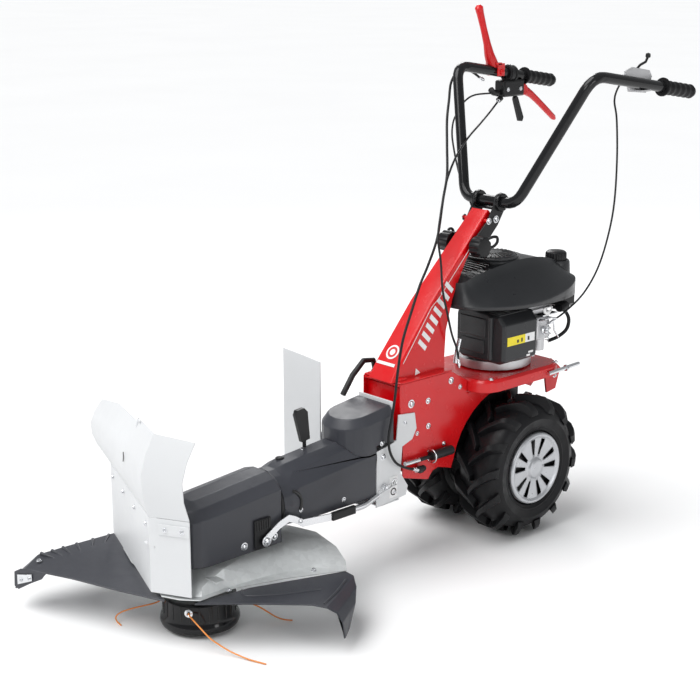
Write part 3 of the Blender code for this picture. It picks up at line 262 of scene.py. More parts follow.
def palette():
    return {
        "red": finish(
            "red_paint", (0.64, 0.0, 0.003), 0.24, coat=0.06, grain=(140.0, 0.04), edge=0.05, shine=0.4
        ),
        "white": finish("white_coat", (0.69, 0.7, 0.71), 0.42, grain=(520.0, 0.1), patch=(4.0, 0.03)),
        "galvanised": finish(
            "galvanised_sheet", (0.68, 0.7, 0.7), 0.46, metallic=0.45, spangle=0.07, grain=(160.0, 0.06)
        ),
        "zinc": finish("zinc_steel", (0.74, 0.75, 0.77), 0.24, metallic=1.0, brushed=0.12, vary=0.1),
        "cast": finish("cast_aluminium", (0.58, 0.58, 0.59), 0.44, metallic=0.9, grain=(260.0, 0.45)),
        "gloss": finish(
            "gloss_black", (0.005, 0.005, 0.006), 0.13, grain=(120.0, 0.03), edge=0.02, shine=0.32
        ),
        "black": finish(
            "satin_black", (0.008, 0.008, 0.009), 0.38, grain=(420.0, 0.2), edge=0.03, shine=0.28
        ),
        "plastic": finish(
            "black_plastic", (0.007, 0.007, 0.008), 0.34, grain=(900.0, 0.22), edge=0.02, shine=0.28
        ),
        "grey": finish(
            "grey_moulding", (0.042, 0.044, 0.053), 0.34, grain=(1100.0, 0.25), edge=0.05, shine=0.34
        ),
        "engine": finish(
            "engine_moulding", (0.017, 0.018, 0.02), 0.33, grain=(1000.0, 0.22), edge=0.04, shine=0.36
        ),
        "rubber": finish(
            "rubber", (0.006, 0.006, 0.007), 0.44, grain=(340.0, 0.35), patch=(14.0, 0.25), vary=0.12,
            shine=0.24,
        ),
        "hub": finish("hub_silver", (0.5, 0.51, 0.53), 0.32, metallic=0.7, grain=(1500.0, 0.12), coat=0.2),
        "line": finish("amber_line", (0.78, 0.24, 0.04), 0.3, subsurface=0.15, grain=(900.0, 0.1)),
        "yellow": finish("yellow_label", (0.88, 0.72, 0.01), 0.35, patch=(60.0, 0.05), grain=(700.0, 0.03)),
        "print": finish("white_print", (0.84, 0.84, 0.84), 0.35, patch=(60.0, 0.04), grain=(700.0, 0.03)),
        "ink": finish("black_print", (0.012, 0.012, 0.012), 0.35, patch=(60.0, 0.1), grain=(700.0, 0.03)),
    }


CAD_LOOKS = {                 # look: bevel width, least angle in degrees of a rounded edge, nodes
    "red": (0.0009, 38, "chassis_frame column engine_plate"),
    "white": (0.0007, 38, "hitch_bracket rear_guard deflector_plate deflector_flare"),
    "galvanised": (0.0005, 38, "guard_deck"),
    "zinc": (0.0006, 38, "axle hitch_pin drive_shaft spindle crankshaft lock_lever"),
    "cast": (0.001, 38, "arm_tube gear_case crankcase carburettor throttle_body"),
    "gloss": (0.0006, 38, "handlebar cutter_drum"),
    "black": (
        0.001, 38,
        "transmission_case handlebar_bracket muffler gear_lever lock_bracket coupling_plunger",
    ),
    "plastic": (
        0.001, 38,
        "line_spool selector_lever lock_grip fuel_tank starter_grip lever_clamp release_lever throttle_lever",
    ),
    "grey": (0.0022, 17, "middle_cover head_cover rear_cover near_flap far_flap"),
    "engine": (0.0022, 24, "air_filter recoil_cover"),
}


def dress(node, material, bevel, least_angle):
    """Give a CAD node its material, and round its edges with modifiers."""
    obj = nodes[node]
    obj.data.materials.clear()
    obj.data.materials.append(material)
    if obj.data.attributes.get("custom_normal"):
        obj.data.attributes.remove(obj.data.attributes["custom_normal"])
    obj.data.shade_smooth()
    weld = obj.modifiers.new("Weld", "WELD")
    weld.merge_threshold = 0.00002
    flatten = obj.modifiers.new("Flatten", "DECIMATE")
    flatten.decimate_type = "DISSOLVE"
    flatten.angle_limit = math.radians(0.6)
    round_off = obj.modifiers.new("Bevel", "BEVEL")
    round_off.width = bevel
    round_off.segments = 2
    round_off.limit_method = "ANGLE"
    round_off.angle_limit = math.radians(least_angle)
    round_off.use_clamp_overlap = False
    even = obj.modifiers.new("Normals", "WEIGHTED_NORMAL")
    even.keep_sharp = False


# ---------------------------------------------------------------- mesh tools
def facing(direction):
    return Vector((0, 0, 1)).rotation_difference(Vector(direction)).to_matrix()


def circle(radius, height, steps):
    angles = [math.tau * k / steps for k in range(steps)]
    return [Vector((radius * math.cos(a), radius * math.sin(a), height)) for a in angles]


def add_turned(bm, profile, centre, direction=UP, steps=24):
    """A shape turned from (radius, height) points about a line through centre."""
    turn, centre = facing(direction), Vector(centre)
    rings = []
    for radius, height in profile:
        ring = circle(radius, height, steps) if radius > 1e-6 else [Vector((0, 0, height))]
        rings.append([bm.verts.new(centre + turn @ point) for point in ring])
    for low, high in zip(rings, rings[1:]):
        for k in range(steps):
            n = (k + 1) % steps
            corners = [low[k % len(low)], low[n % len(low)], high[n % len(high)], high[k % len(high)]]
            corners = list(dict.fromkeys(corners))
            if len(corners) > 2:
                bm.faces.new(corners)


def join_rings(bm, rings, capped=True):
    """Faces between rings of equally many points, and a cap on each end."""
    for low, high in zip(rings, rings[1:]):
        for k in range(len(low)):
            n = (k + 1) % len(low)
            bm.faces.new((low[k], low[n], high[n], high[k]))
    if capped:
        bm.faces.new(rings[0][::-1])
        bm.faces.new(rings[-1])


def add_disc(bm, radius, height, place, direction, steps=20):
    add_turned(bm, [(0, 0), (radius, 0), (radius, height), (0, height)], place, direction, steps)


def add_box(bm, low, high):
    size = Vector(high) - Vector(low)
    middle = (Vector(high) + Vector(low)) / 2
    bmesh.ops.create_cube(bm, size=1.0, matrix=Matrix.Translation(middle) @ Matrix.Diagonal((*size, 1)))


def add_plate(bm, outline, depth):
    """A plate from an outline of 3-D points, thickened by the vector depth."""
    front = [bm.verts.new(p) for p in outline]
    back = [bm.verts.new(Vector(p) + Vector(depth)) for p in outline]
    bm.faces.new(front)
    bm.faces.new(back[::-1])
    for i in range(len(front)):
        j = (i + 1) % len(front)
        bm.faces.new((front[i], back[i], back[j], front[j]))


def add_label(bm, x, y, z, wide, tall, thick=0.0003):
    """A thin upright patch facing left, from its low front corner."""
    corners = [(x, y, z), (x, y + wide, z), (x, y + wide, z + tall), (x, y, z + tall)]
    add_plate(bm, corners, (thick, 0, 0))


def add_tube(bm, path, radius, sides=10, flat=1.0):
    """A round bar along a path; radius may be a list with one value for each point."""
    path = [Vector(p) for p in path]
    radii = radius if isinstance(radius, list) else [radius] * len(path)
    ahead = (path[1] - path[0]).normalized()
    side = ahead.orthogonal().normalized()
    rings = []
    for i, point in enumerate(path):
        following = path[min(i + 1, len(path) - 1)] - path[max(i - 1, 0)]
        turned_to = following.normalized()
        side = (ahead.rotation_difference(turned_to)) @ side
        ahead = turned_to
        up = ahead.cross(side)
        ring = []
        for k in range(sides):
            angle = math.tau * k / sides
            offset = side * math.cos(angle) + up * math.sin(angle) * flat
            ring.append(bm.verts.new(point + offset * radii[i]))
        rings.append(ring)
    join_rings(bm, rings)


def add_fluted(bm, profile, steps, grooves, place):
    """Rings of (height, radius, groove depth) round an axis, grooved where the list says so."""
    rings = []
    for height, radius, depth in profile:
        ring = []
        for k in range(steps):
            angle = math.tau * k / steps
            reach = radius - (depth if grooves[k % len(grooves)] else 0.0)
            ring.append(bm.verts.new(place(height, reach * math.cos(angle), reach * math.sin(angle))))
        rings.append(ring)
    join_rings(bm, rings)


def add_ring(bm, centre, direction, radius, wire, steps=24):
    """A torus about a line through centre."""
    turn, centre = facing(direction), Vector(centre)
    grid = []
    for k in range(steps):
        angle = math.tau * k / steps
        row = []
        for m in range(8):
            tilt = math.tau * m / 8
            reach = radius + wire * math.cos(tilt)
            point = Vector((reach * math.cos(angle), reach * math.sin(angle), wire * math.sin(tilt)))
            row.append(bm.verts.new(centre + turn @ point))
        grid.append(row)
    for k in range(steps):
        for m in range(8):
            a, b = grid[k], grid[(k + 1) % steps]
            bm.faces.new((a[m], b[m], b[(m + 1) % 8], a[(m + 1) % 8]))


def add_scaled(bm, profile, scale, place, direction, steps):
    add_turned(bm, [(r * scale, h * scale) for r, h in profile], place, direction, steps)


def add_bolt(bm, place, direction, radius):
    """A washer under a domed head with a socket."""
    washer = [(0, 0), (1.0, 0.0), (1.0, 0.14), (0.7, 0.16)]
    head = [(0.69, 0.4), (0.56, 0.62), (0.34, 0.7), (0.3, 0.42), (0.0, 0.42)]
    add_scaled(bm, washer + head, radius, place, direction, 20)


def add_nut(bm, place, direction, radius):
    """A hexagon nut on its washer, with the bolt's end standing out."""
    washer = [(0, 0), (1.0, 0.0), (1.0, 0.14), (0.0, 0.14)]
    add_scaled(bm, washer, radius, place, direction, 20)
    nut = [(0, 0.14), (0.8, 0.14), (0.84, 0.22), (0.84, 0.62), (0.74, 0.72), (0.0, 0.72)]
    add_scaled(bm, nut, radius, place, direction, 6)
    end = [(0.0, 0.7), (0.42, 0.72), (0.4, 1.0), (0.0, 1.02)]
    add_scaled(bm, end, radius, place, direction, 14)


def piece(name, bm, look, body, smooth=35, bevel=0.0, replaced=()):
    """Make the mesh a piece of the object that moves with a CAD body."""
    bmesh.ops.remove_doubles(bm, verts=bm.verts, dist=0.000001)
    bmesh.ops.recalc_face_normals(bm, faces=bm.faces)
    mesh = bpy.data.meshes.new(name)
    bm.to_mesh(mesh)
    bm.free()
    obj = bpy.data.objects.new(name, mesh)
    bpy.context.scene.collection.objects.link(obj)
    mesh.materials.append(LOOKS[look])
    mesh.shade_smooth()
    mesh.set_sharp_from_angle(angle=math.radians(smooth))
    if bevel:
        round_off = obj.modifiers.new("Bevel", "BEVEL")
        round_off.width = bevel
        round_off.segments = 2
        round_off.limit_method = "ANGLE"
        round_off.angle_limit = math.radians(35)
    if replaced:
        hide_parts(*replaced)
    if body:
        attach(obj, body)
    return obj


def spline_point(a, b, c, d, t):
    """The point a share t of the way from b to c, on a smooth curve through all four."""
    return 0.5 * (
        2 * b + (c - a) * t + (2 * a - 5 * b + 4 * c - d) * t * t
        + (3 * b - 3 * c + d - a) * t ** 3
    )


def curve_points(points, step):
    """Points a step apart on a smooth curve through the given ones."""
    points = [Vector(p) for p in points]
    ends = [points[0] * 2 - points[1]] + points + [points[-1] * 2 - points[-2]]
    path = []
    for a, b, c, d in zip(ends, ends[1:], ends[2:], ends[3:]):
        count = max(1, round((c - b).length / step))
        path += [spline_point(a, b, c, d, k / count) for k in range(count)]
    return path + [points[-1]]


def smooth_loop(points, count):
    """A closed smooth curve through the points, with count steps from each to the next."""
    path = []
    total = len(points)
    for i in range(total):
        a, b, c, d = (points[(i + k) % total] for k in (-1, 0, 1, 2))
        path += [spline_point(a, b, c, d, k / count) for k in range(count)]
    return path


def both_sides(x, y, z, radius):
    """The same bolt on the left and on the right."""
    return [((x, y, z), LEFT, radius), ((-x, y, z), RIGHT, radius)]


def fixings(name, body, bolts=(), nuts=(), look="zinc"):
    bm = bmesh.new()
    for place, direction, radius in bolts:
        add_bolt(bm, place, direction, radius)
    for place, direction, radius in nuts:
        add_nut(bm, place, direction, radius)
    piece(name, bm, look, body, 30)


# ---------------------------------------------------------------- wheels
def add_lug(bm, centre, which, start):
    """One tread bar: it sweeps back from the middle of the tread and falls over the shoulder."""
    rings = []
    for s in range(LUG_STATIONS):
        t = s / (LUG_STATIONS - 1)
        across = which * (-0.004 + 0.0645 * t)
        angle = start - LUG_SWEEP * t ** 0.8
        top = TYRE_RADIUS - 0.0008 - 0.02 * max(0.0, t - 0.72) ** 1.3 * 6.0
        base = 0.144 - 0.034 * max(0.0, t - 0.55)
        wide = 0.0062 + 0.0022 * t
        ring = []
        for swing, radius in ((-1.45, base), (-1.0, top), (1.0, top), (1.45, base)):
            turn = angle + swing * wide / radius
            y, z = radius * math.cos(turn), radius * math.sin(turn)
            ring.append(bm.verts.new(centre + Vector((across, y, z))))
        rings.append(ring)
    join_rings(bm, rings)


def tyre(side):
    """Tractor tyre: a carcass with curved bars on both sides of its tread."""
    tag = "left" if side > 0 else "right"
    centre = Vector((side * WHEEL_X, AXLE_Y, WHEEL_Z))
    bm = bmesh.new()
    half = [                  # radius and distance from the middle, from the tread to the bead
        (0.148, 0.0), (0.1475, 0.02), (0.145, 0.038), (0.138, 0.05), (0.129, 0.0575),
        (0.118, 0.0605), (0.116, 0.0612), (0.1145, 0.0602), (0.104, 0.059), (0.0985, 0.057),
        (0.0965, 0.058), (0.0945, 0.056), (0.088, 0.0535), (0.0862, 0.048), (0.0862, 0.0),
    ]
    profile = [(r, -h) for r, h in half[::-1]] + half[1:]
    add_turned(bm, profile, centre, LEFT, 72)
    for which in (-1, 1):
        for k in range(LUGS):
            half_step = 0.5 if which > 0 else 0.0
            add_lug(bm, centre, which, math.tau * (k + half_step) / LUGS)
    piece(f"lugged_tyre_{tag}", bm, "rubber", f"wheel_{tag}", 38, 0.0012, (f"tyre_{tag}",))


def wheel_cap(side):
    """Silver cap with five pairs of slots round a raised boss."""
    tag = "left" if side > 0 else "right"
    centre = Vector((side * (WHEEL_X + TYRE_HALF), AXLE_Y, WHEEL_Z))
    dish = [
        (0.0845, -0.0125), (0.0842, -0.006), (0.0825, -0.0022), (0.079, -0.0008), (0.0755, -0.0016),
        (0.0735, -0.0042), (0.07, -0.005), (0.064, -0.0048), (0.048, -0.0058), (0.033, -0.0066),
        (0.0265, -0.0066), (0.0238, -0.0052), (0.0222, -0.0018), (0.02, -0.0002), (0.009, 0.0),
    ]
    turn = facing((side, 0, 0))
    bm = bmesh.new()
    rings = [circle(radius, height, CAP_STEPS) for radius, height in dish]
    grid = [[bm.verts.new(centre + turn @ point) for point in ring] for ring in rings]
    for i, (low, high) in enumerate(zip(grid, grid[1:])):
        within = dish[i + 1][0] >= SLOT_LOW - 1e-6 and dish[i][0] <= SLOT_HIGH + 1e-6
        for k in range(CAP_STEPS):
            if within and k % CAP_PAIR in CAP_SLOTTED:
                continue
            n = (k + 1) % CAP_STEPS
            bm.faces.new((low[k], low[n], high[n], high[k]))
    bm.faces.new(grid[-1])
    cap = piece(f"wheel_cap_{tag}", bm, "hub", f"wheel_{tag}", 50, 0.0, (f"rim_{tag}",))
    shell = cap.modifiers.new("Solidify", "SOLIDIFY")
    shell.thickness = 0.0018
    shell.offset = -1.0


def wheel_dish(side):
    """Dark wheel behind the cap, with its hub."""
    tag = "left" if side > 0 else "right"
    bm = bmesh.new()
    profile = [
        (0.0, -0.015), (0.074, -0.017), (0.08, -0.012), (0.0855, -0.012), (0.0855, -0.113),
        (0.078, -0.115), (0.07, -0.095), (0.028, -0.095), (0.028, -0.122), (0.012, -0.122),
        (0.012, -0.03), (0.0, -0.03),
    ]
    place = (side * (WHEEL_X + TYRE_HALF), AXLE_Y, WHEEL_Z)
    add_turned(bm, profile, place, (side, 0, 0), 48)
    piece(f"wheel_dish_{tag}", bm, "black", f"wheel_{tag}", 35, 0.0006)


# ---------------------------------------------------------------- trimmer line and cables
LINE_RADIUS = 0.0015
TRIMMER_LINES = {
    "trimmer_line_front": [
        (0.0448, -0.0612, 0.056), (0.051, -0.064, 0.055), (0.0654, -0.0657, 0.0515),
        (0.0878, -0.0659, 0.043), (0.1157, -0.0633, 0.03), (0.1346, -0.054, 0.019),
        (0.1549, -0.0457, 0.011), (0.1748, -0.0372, 0.006), (0.1961, -0.0298, 0.0032),
        (0.2289, -0.0173, 0.002),
    ],
    "trimmer_line_far": [
        (-0.0612, -0.0448, 0.056), (-0.0632, -0.048, 0.05), (-0.0663, -0.0515, 0.043),
        (-0.074, -0.064, 0.038), (-0.09, -0.08, 0.032), (-0.106, -0.096, 0.0255),
        (-0.119, -0.111, 0.018), (-0.1215, -0.121, 0.011), (-0.113, -0.1245, 0.005),
        (-0.0981, -0.1249, 0.002),
    ],
    "trimmer_line_near": [
        (0.0612, 0.0448, 0.056), (0.066, 0.052, 0.055), (0.076, 0.068, 0.049),
        (0.086, 0.084, 0.039), (0.095, 0.099, 0.026), (0.103, 0.113, 0.014),
        (0.111, 0.128, 0.006), (0.118, 0.143, 0.002),
    ],
}


def trimmer_lines():
    for node, route in TRIMMER_LINES.items():
        path = curve_points(route, 0.004)
        curve = bpy.data.curves.new(node.replace("trimmer", "cutting"), "CURVE")
        curve.dimensions = "3D"
        curve.bevel_depth = LINE_RADIUS
        curve.bevel_resolution = 3
        curve.use_fill_caps = True
        spline = curve.splines.new("POLY")
        spline.points.add(len(path) - 1)
        for point, place in zip(spline.points, path):
            point.co = (*place, 1)
        line = bpy.data.objects.new(curve.name, curve)
        bpy.context.scene.collection.objects.link(line)
        curve.materials.append(LOOKS["line"])
        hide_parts(node)
        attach(line, "cutter")


CABLES = {                    # radius, where it leaves the handlebar, where it holds to the chassis, route
    "clutch_cable": (0.003, (0, 0.84, 0.86), (0, 0.6, 0.62), [
        (-0.224, 1.052, 1.008), (-0.2255, 1.003, 1.033), (-0.227, 0.964, 1.03),
        (-0.218, 0.934, 1.008), (-0.19, 0.8988, 0.973), (-0.165, 0.867, 0.9311),
        (-0.13, 0.8317, 0.8797), (-0.085, 0.7863, 0.8202), (-0.05, 0.738, 0.7729),
        (-0.012, 0.6828, 0.7017), (0.02, 0.6225, 0.6532), (0.037, 0.5803, 0.6173),
        (0.044, 0.5499, 0.5683), (0.05, 0.5177, 0.5089), (0.058, 0.4957, 0.4483),
        (0.069, 0.4757, 0.3877), (0.0725, 0.4633, 0.3467), (0.0725, 0.4553, 0.3084),
        (0.073, 0.4591, 0.2763), (0.074, 0.4764, 0.2475), (0.073, 0.5079, 0.2282),
        (0.072, 0.5459, 0.2141),
    ]),
    "drive_cable": (0.0025, (0, 0.86, 0.88), (0, 0.64, 0.62), [
        (-0.2055, 1.0943, 0.9616), (-0.19, 1.042, 0.9349), (-0.15, 0.9637, 0.9156),
        (-0.115, 0.8856, 0.8925), (-0.08, 0.8094, 0.8593), (-0.048, 0.7477, 0.817),
        (-0.022, 0.7088, 0.7796), (-0.006, 0.685, 0.7503), (0.02, 0.6513, 0.7081),
        (0.04, 0.6405, 0.6589), (0.044, 0.6435, 0.5973), (0.049, 0.6554, 0.5402),
        (0.05, 0.6693, 0.4931), (0.05, 0.6864, 0.4557), (0.052, 0.6917, 0.4182),
    ]),
    "throttle_cable": (0.0022, (0.19, 1.03, 0.97), (0.13, 0.95, 0.51), [
        (0.1879, 1.059, 1.035), (0.186, 1.042, 1.015), (0.188, 1.03, 0.99),
        (0.201, 1.0245, 0.9496), (0.205, 1.027, 0.8612), (0.2, 1.0304, 0.7593),
        (0.19, 1.024, 0.679), (0.175, 1.0118, 0.6092), (0.155, 0.9902, 0.5532),
        (0.135, 0.9562, 0.5153), (0.12, 0.93, 0.4942), (0.1155, 0.923, 0.488),
    ]),
}
STOP_CABLE = [                # runs down the far leg into the column's head
    (-0.2055, 1.0791, 0.9766), (-0.2055, 1.0045, 0.9766), (-0.21, 0.9749, 0.9641),
    (-0.215, 0.9634, 0.948), (-0.213, 0.9479, 0.9328), (-0.205, 0.9296, 0.916),
    (-0.19, 0.9111, 0.8906), (-0.17, 0.8977, 0.8584), (-0.15, 0.8876, 0.8263),
    (-0.12, 0.872, 0.792), (-0.085, 0.854, 0.77), (-0.045, 0.826, 0.752),
]


def cables():
    for node, (radius, leaves, holds, route) in CABLES.items():
        bm = bmesh.new()
        add_tube(bm, curve_points(route, 0.008), radius, 10)
        name = node.replace("cable", "sheath")
        sheath = piece(name, bm, "plastic", None, 60, replaced=(node,))
        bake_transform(sheath)
        for end, body, tag in ((0, "handlebar_set", "upper"), (-1, "chassis", "lower")):
            near = Vector(route[end])
            inward = (Vector(route[1 if end == 0 else -2]) - near).normalized()
            bm = bmesh.new()
            ferrule = [
                (0.0, -0.004), (radius * 0.7, -0.004), (radius * 0.7, 0.0), (radius * 1.6, 0.0005),
                (radius * 1.7, 0.009), (radius * 1.35, 0.01), (radius * 1.35, 0.016), (radius, 0.017),
            ]
            add_turned(bm, ferrule, near, inward, 16)
            piece(f"{name}_{tag}_end", bm, "zinc", body, 40)
    bm = bmesh.new()
    add_tube(bm, curve_points(STOP_CABLE, 0.008), 0.0022, 10)
    piece("stop_sheath", bm, "plastic", "handlebar_set", 60)


# ---------------------------------------------------------------- chassis and column
def column_side(y, z, side=1, lift=0.0005):
    """The point (y, z) on the column's side plate, which leans inwards as it rises."""
    half = 0.038 + (z - 0.413) * (0.024 - 0.038) / (0.752 - 0.413)
    return Vector((side * (half + lift), y, z))


def column_front(x, z, lift=0.0006):
    """A point on the column's sloping front face."""
    return Vector((x, 0.512 + (z - 0.436) * 0.817 - lift, z + lift * 0.8))


def column_marks():
    """Plain slanted bars in place of a name, and a plain ring in place of a badge."""
    along = Vector((0, 0.102, 0.136)).normalized()
    across = Vector((0, -0.8, 0.6)).normalized()
    bm = bmesh.new()
    for side in (1, -1):
        for k in range(8):
            middle = Vector((0, 0.59, 0.48)) + along * 0.0205 * k
            corners = []
            for a, b in ((-0.0052, -0.015), (0.0052, -0.015), (0.0092, 0.015), (-0.0012, 0.015)):
                spot = middle + along * a + across * b
                corners.append(column_side(spot.y, spot.z, side))
            add_plate(bm, corners, (side * 0.0002, 0, 0))
    piece("column_bars", bm, "print", "chassis", 30)
    # White lines along both creases of the column are a painted highlight on those edges, drawn in the white
    # print material
    bm = bmesh.new()
    for side in (1, -1):
        path = [column_side(0.524 + 0.8168 * d, 0.44 + d, side, 0.0003) for d in (0.01, 0.06, 0.12)]
        path += [column_side(0.636 + 1.035 * d, 0.567 + d, side, 0.0003) for d in (0.01, 0.08, 0.17)]
        add_tube(bm, path, 0.0007, 6)
    piece("column_edge_highlight", bm, "print", "chassis", 60)
    tilt = Vector((0, -1.0, 0.817)).normalized()
    bm = bmesh.new()
    add_disc(bm, 0.0172, 0.0003, column_front(-0.001, 0.4675), tilt, 40)
    corners = ((-0.031, 0.442), (0.024, 0.442), (0.0235, 0.4475), (-0.0305, 0.4475))
    base = [column_front(x, z) for x, z in corners]
    add_plate(bm, base, (0, -0.0002, 0.0002))
    for side in (1, -1):
        mark = [column_side(y, z, side) for y, z in ((0.567, 0.418), (0.583, 0.421), (0.57, 0.433))]
        add_plate(bm, mark, (side * 0.0002, 0, 0))
    piece("badge_patch", bm, "print", "chassis", 30)
    bm = bmesh.new()
    rim = [(0.0075, 0.0), (0.0128, 0.0), (0.0128, 0.0004), (0.0075, 0.0004), (0.0075, 0.0)]
    add_turned(bm, rim, column_front(-0.001, 0.4675, 0.0009), tilt, 32)
    piece("badge_ring", bm, "red", "chassis", 30)


def chassis_details():
    bm = bmesh.new()
    add_box(bm, (-0.0572, 0.505, 0.4122), (0.0572, 0.664, 0.4158))
    add_box(bm, (-0.047, 0.506, 0.415), (0.047, 0.535, 0.4205))
    piece("column_foot", bm, "red", "chassis", 35, 0.0012)
    bolts = both_sides(0.0366, 0.795, 0.729, 0.0075)
    for y, z, radius in (
        (0.536, 0.364, 0.0095), (0.588, 0.36, 0.007), (0.59, 0.302, 0.0068), (0.556, 0.292, 0.005),
        (0.66, 0.392, 0.008), (0.69, 0.372, 0.006), (0.64, 0.25, 0.0055),
    ):
        bolts += both_sides(PLATE_X, y, z, radius)
    for y, z, radius in ((0.449, 0.264, 0.0075), (0.485, 0.175, 0.005), (0.515, 0.327, 0.0052)):
        bolts += both_sides(CHEEK_X, y, z, radius)
    fixings("chassis_bolts", "chassis", bolts)

    bm = bmesh.new()
    add_tube(bm, [(0.0695, 0.508, 0.236), (0.0695, 0.552, 0.2352)], 0.0052, 14)
    add_ring(bm, (0.0695, 0.59, 0.235), BACK, 0.015, 0.002)
    add_box(bm, (0.058, 0.52, 0.23), (0.069, 0.528, 0.24))
    add_tube(bm, [(0.116, 0.925, 0.368), (0.116, 1.034, 0.372)], 0.0048, 12)
    add_disc(bm, 0.008, 0.007, (0.116, 0.985, 0.37), BACK, 6)
    add_tube(bm, [(0.045, 0.688, 0.424), (0.045, 0.692, 0.452), (0.045, 0.7, 0.478)], 0.0055, 12)
    piece("chassis_hardware", bm, "zinc", "chassis", 40, 0.0004)

    bm = bmesh.new()
    add_turned(
        bm, [(0, 0), (0.0062, 0.0), (0.0072, 0.002), (0.0072, 0.018), (0.0055, 0.021), (0, 0.021)],
        (0.0715, 0.546, 0.214), BACK, 18,
    )
    add_box(bm, (0.0575, 0.552, 0.204), (0.0725, 0.564, 0.214))
    piece("cable_stop", bm, "black", "chassis", 40, 0.0005)
    fixings("cable_stop_nuts", "chassis", nuts=[((0.0718, 0.54, 0.2145), FORWARD, 0.0055)])


def hitch_details():
    """Plain pictogram plate on the coupling's cheek, and the pin's spring clip."""
    bm = bmesh.new()
    add_label(bm, CHEEK_X + 0.0002, 0.469, 0.164, 0.024, 0.048)
    piece("sign_plate", bm, "print", "chassis", 30)
    bm = bmesh.new()
    middle = 0.481
    face = CHEEK_X + 0.0006
    triangle = [(face, middle - 0.0085, 0.1915), (face, middle + 0.0085, 0.1915), (face, middle, 0.2065)]
    add_tube(bm, triangle + triangle[:2], 0.0009, 6)
    add_ring(bm, (face, middle, 0.1775), LEFT, 0.0072, 0.0013)
    add_tube(bm, [(face, middle, 0.1945), (face, middle, 0.201)], 0.0008, 6)
    piece("sign_marks", bm, "ink", "chassis", 40)
    bm = bmesh.new()
    x = 0.0688
    clip = [
        (x, 0.43, 0.193), (x, 0.444, 0.1985), (x, 0.452, 0.2015), (x, 0.46, 0.199),
        (x, 0.47, 0.2035), (x, 0.478, 0.21), (x, 0.484, 0.207), (x, 0.482, 0.199),
        (x, 0.472, 0.1945), (x, 0.452, 0.1895), (x, 0.432, 0.1855),
    ]
    add_tube(bm, curve_points(clip, 0.002), 0.0011, 8)
    piece("pin_clip", bm, "zinc", "arm_pin", 60)


# ---------------------------------------------------------------- arm, covers and head
def cover_details():
    bm = bmesh.new()
    add_turned(
        bm, [(0, 0), (0.0095, 0.0), (0.0095, 0.0022), (0.0075, 0.0036), (0.0, 0.004)],
        (-0.01, 0.222, 0.296), UP, 24,
    )
    piece("cover_plug", bm, "plastic", "chassis", 40)
    bm = bmesh.new()
    slot = []
    for k in range(9):
        angle = math.radians(62 - 88 * k / 8)
        slot.append((0.064 + 0.0006, 0.176 + 0.04 * math.cos(angle), 0.222 + 0.034 * math.sin(angle)))
    add_tube(bm, slot, 0.0034, 10, 1.0)
    piece("tilt_slot", bm, "ink", "chassis", 60)
    screws = [((0.0642, 0.215, 0.206), LEFT, 0.005)]
    screws += both_sides(0.0642, 0.333, 0.198, 0.0055) + both_sides(0.0627, 0.445, 0.296, 0.0062)
    fixings("cover_screws", "chassis", screws)
    bm = bmesh.new()
    add_ring(bm, (0.0, 0.1655, 0.22), BACK, 0.0645, 0.0044, 56)
    piece("tilt_joint_ring", bm, "plastic", "head", 60)
    face = COVER_X + 0.0003
    bolts = both_sides(face, 0.062, 0.17, 0.0085) + both_sides(face, 0.14, 0.17, 0.008)
    fixings("head_bolts", "head", bolts)
    fixings(
        "tilt_lock_bolts", "tilt_lock",
        [((0.08, 0.11, 0.172), LEFT, 0.0115), ((0.08, 0.2, 0.19), LEFT, 0.0058)],
    )
    bm = bmesh.new()
    for y in (0.092, 0.098, 0.104, 0.11, 0.116, 0.122):
        add_box(bm, (0.0742, y - 0.0018, 0.196), (0.0758, y + 0.0018, 0.216))
    piece("lock_teeth", bm, "black", "head", 35, 0.0004)
    bm = bmesh.new()
    path = curve_points([(0.07, 0.352, 0.172), (0.07, 0.385, 0.172), (0.066, 0.41, 0.176),
                         (0.0625, 0.432, 0.18)], 0.006)
    add_tube(bm, path, 0.0088, 14, 0.7)
    piece("arm_rest_bar", bm, "zinc", "chassis", 50)
    bm = bmesh.new()
    add_ring(bm, (-0.012, 0.291, 0.301), UP, 0.0085, 0.0018)
    piece("selector_gaiter", bm, "zinc", "chassis", 50)


def on_wing(reach, height, lift=0.0014):
    place = FOLD + WING * reach + WING_FRONT * lift
    return Vector((place.x, place.y, height))


def on_near_wing(reach, height, lift=0.0014):
    place = FOLD + NEAR_WING * reach + NEAR_FRONT * lift
    return Vector((place.x, place.y, height))


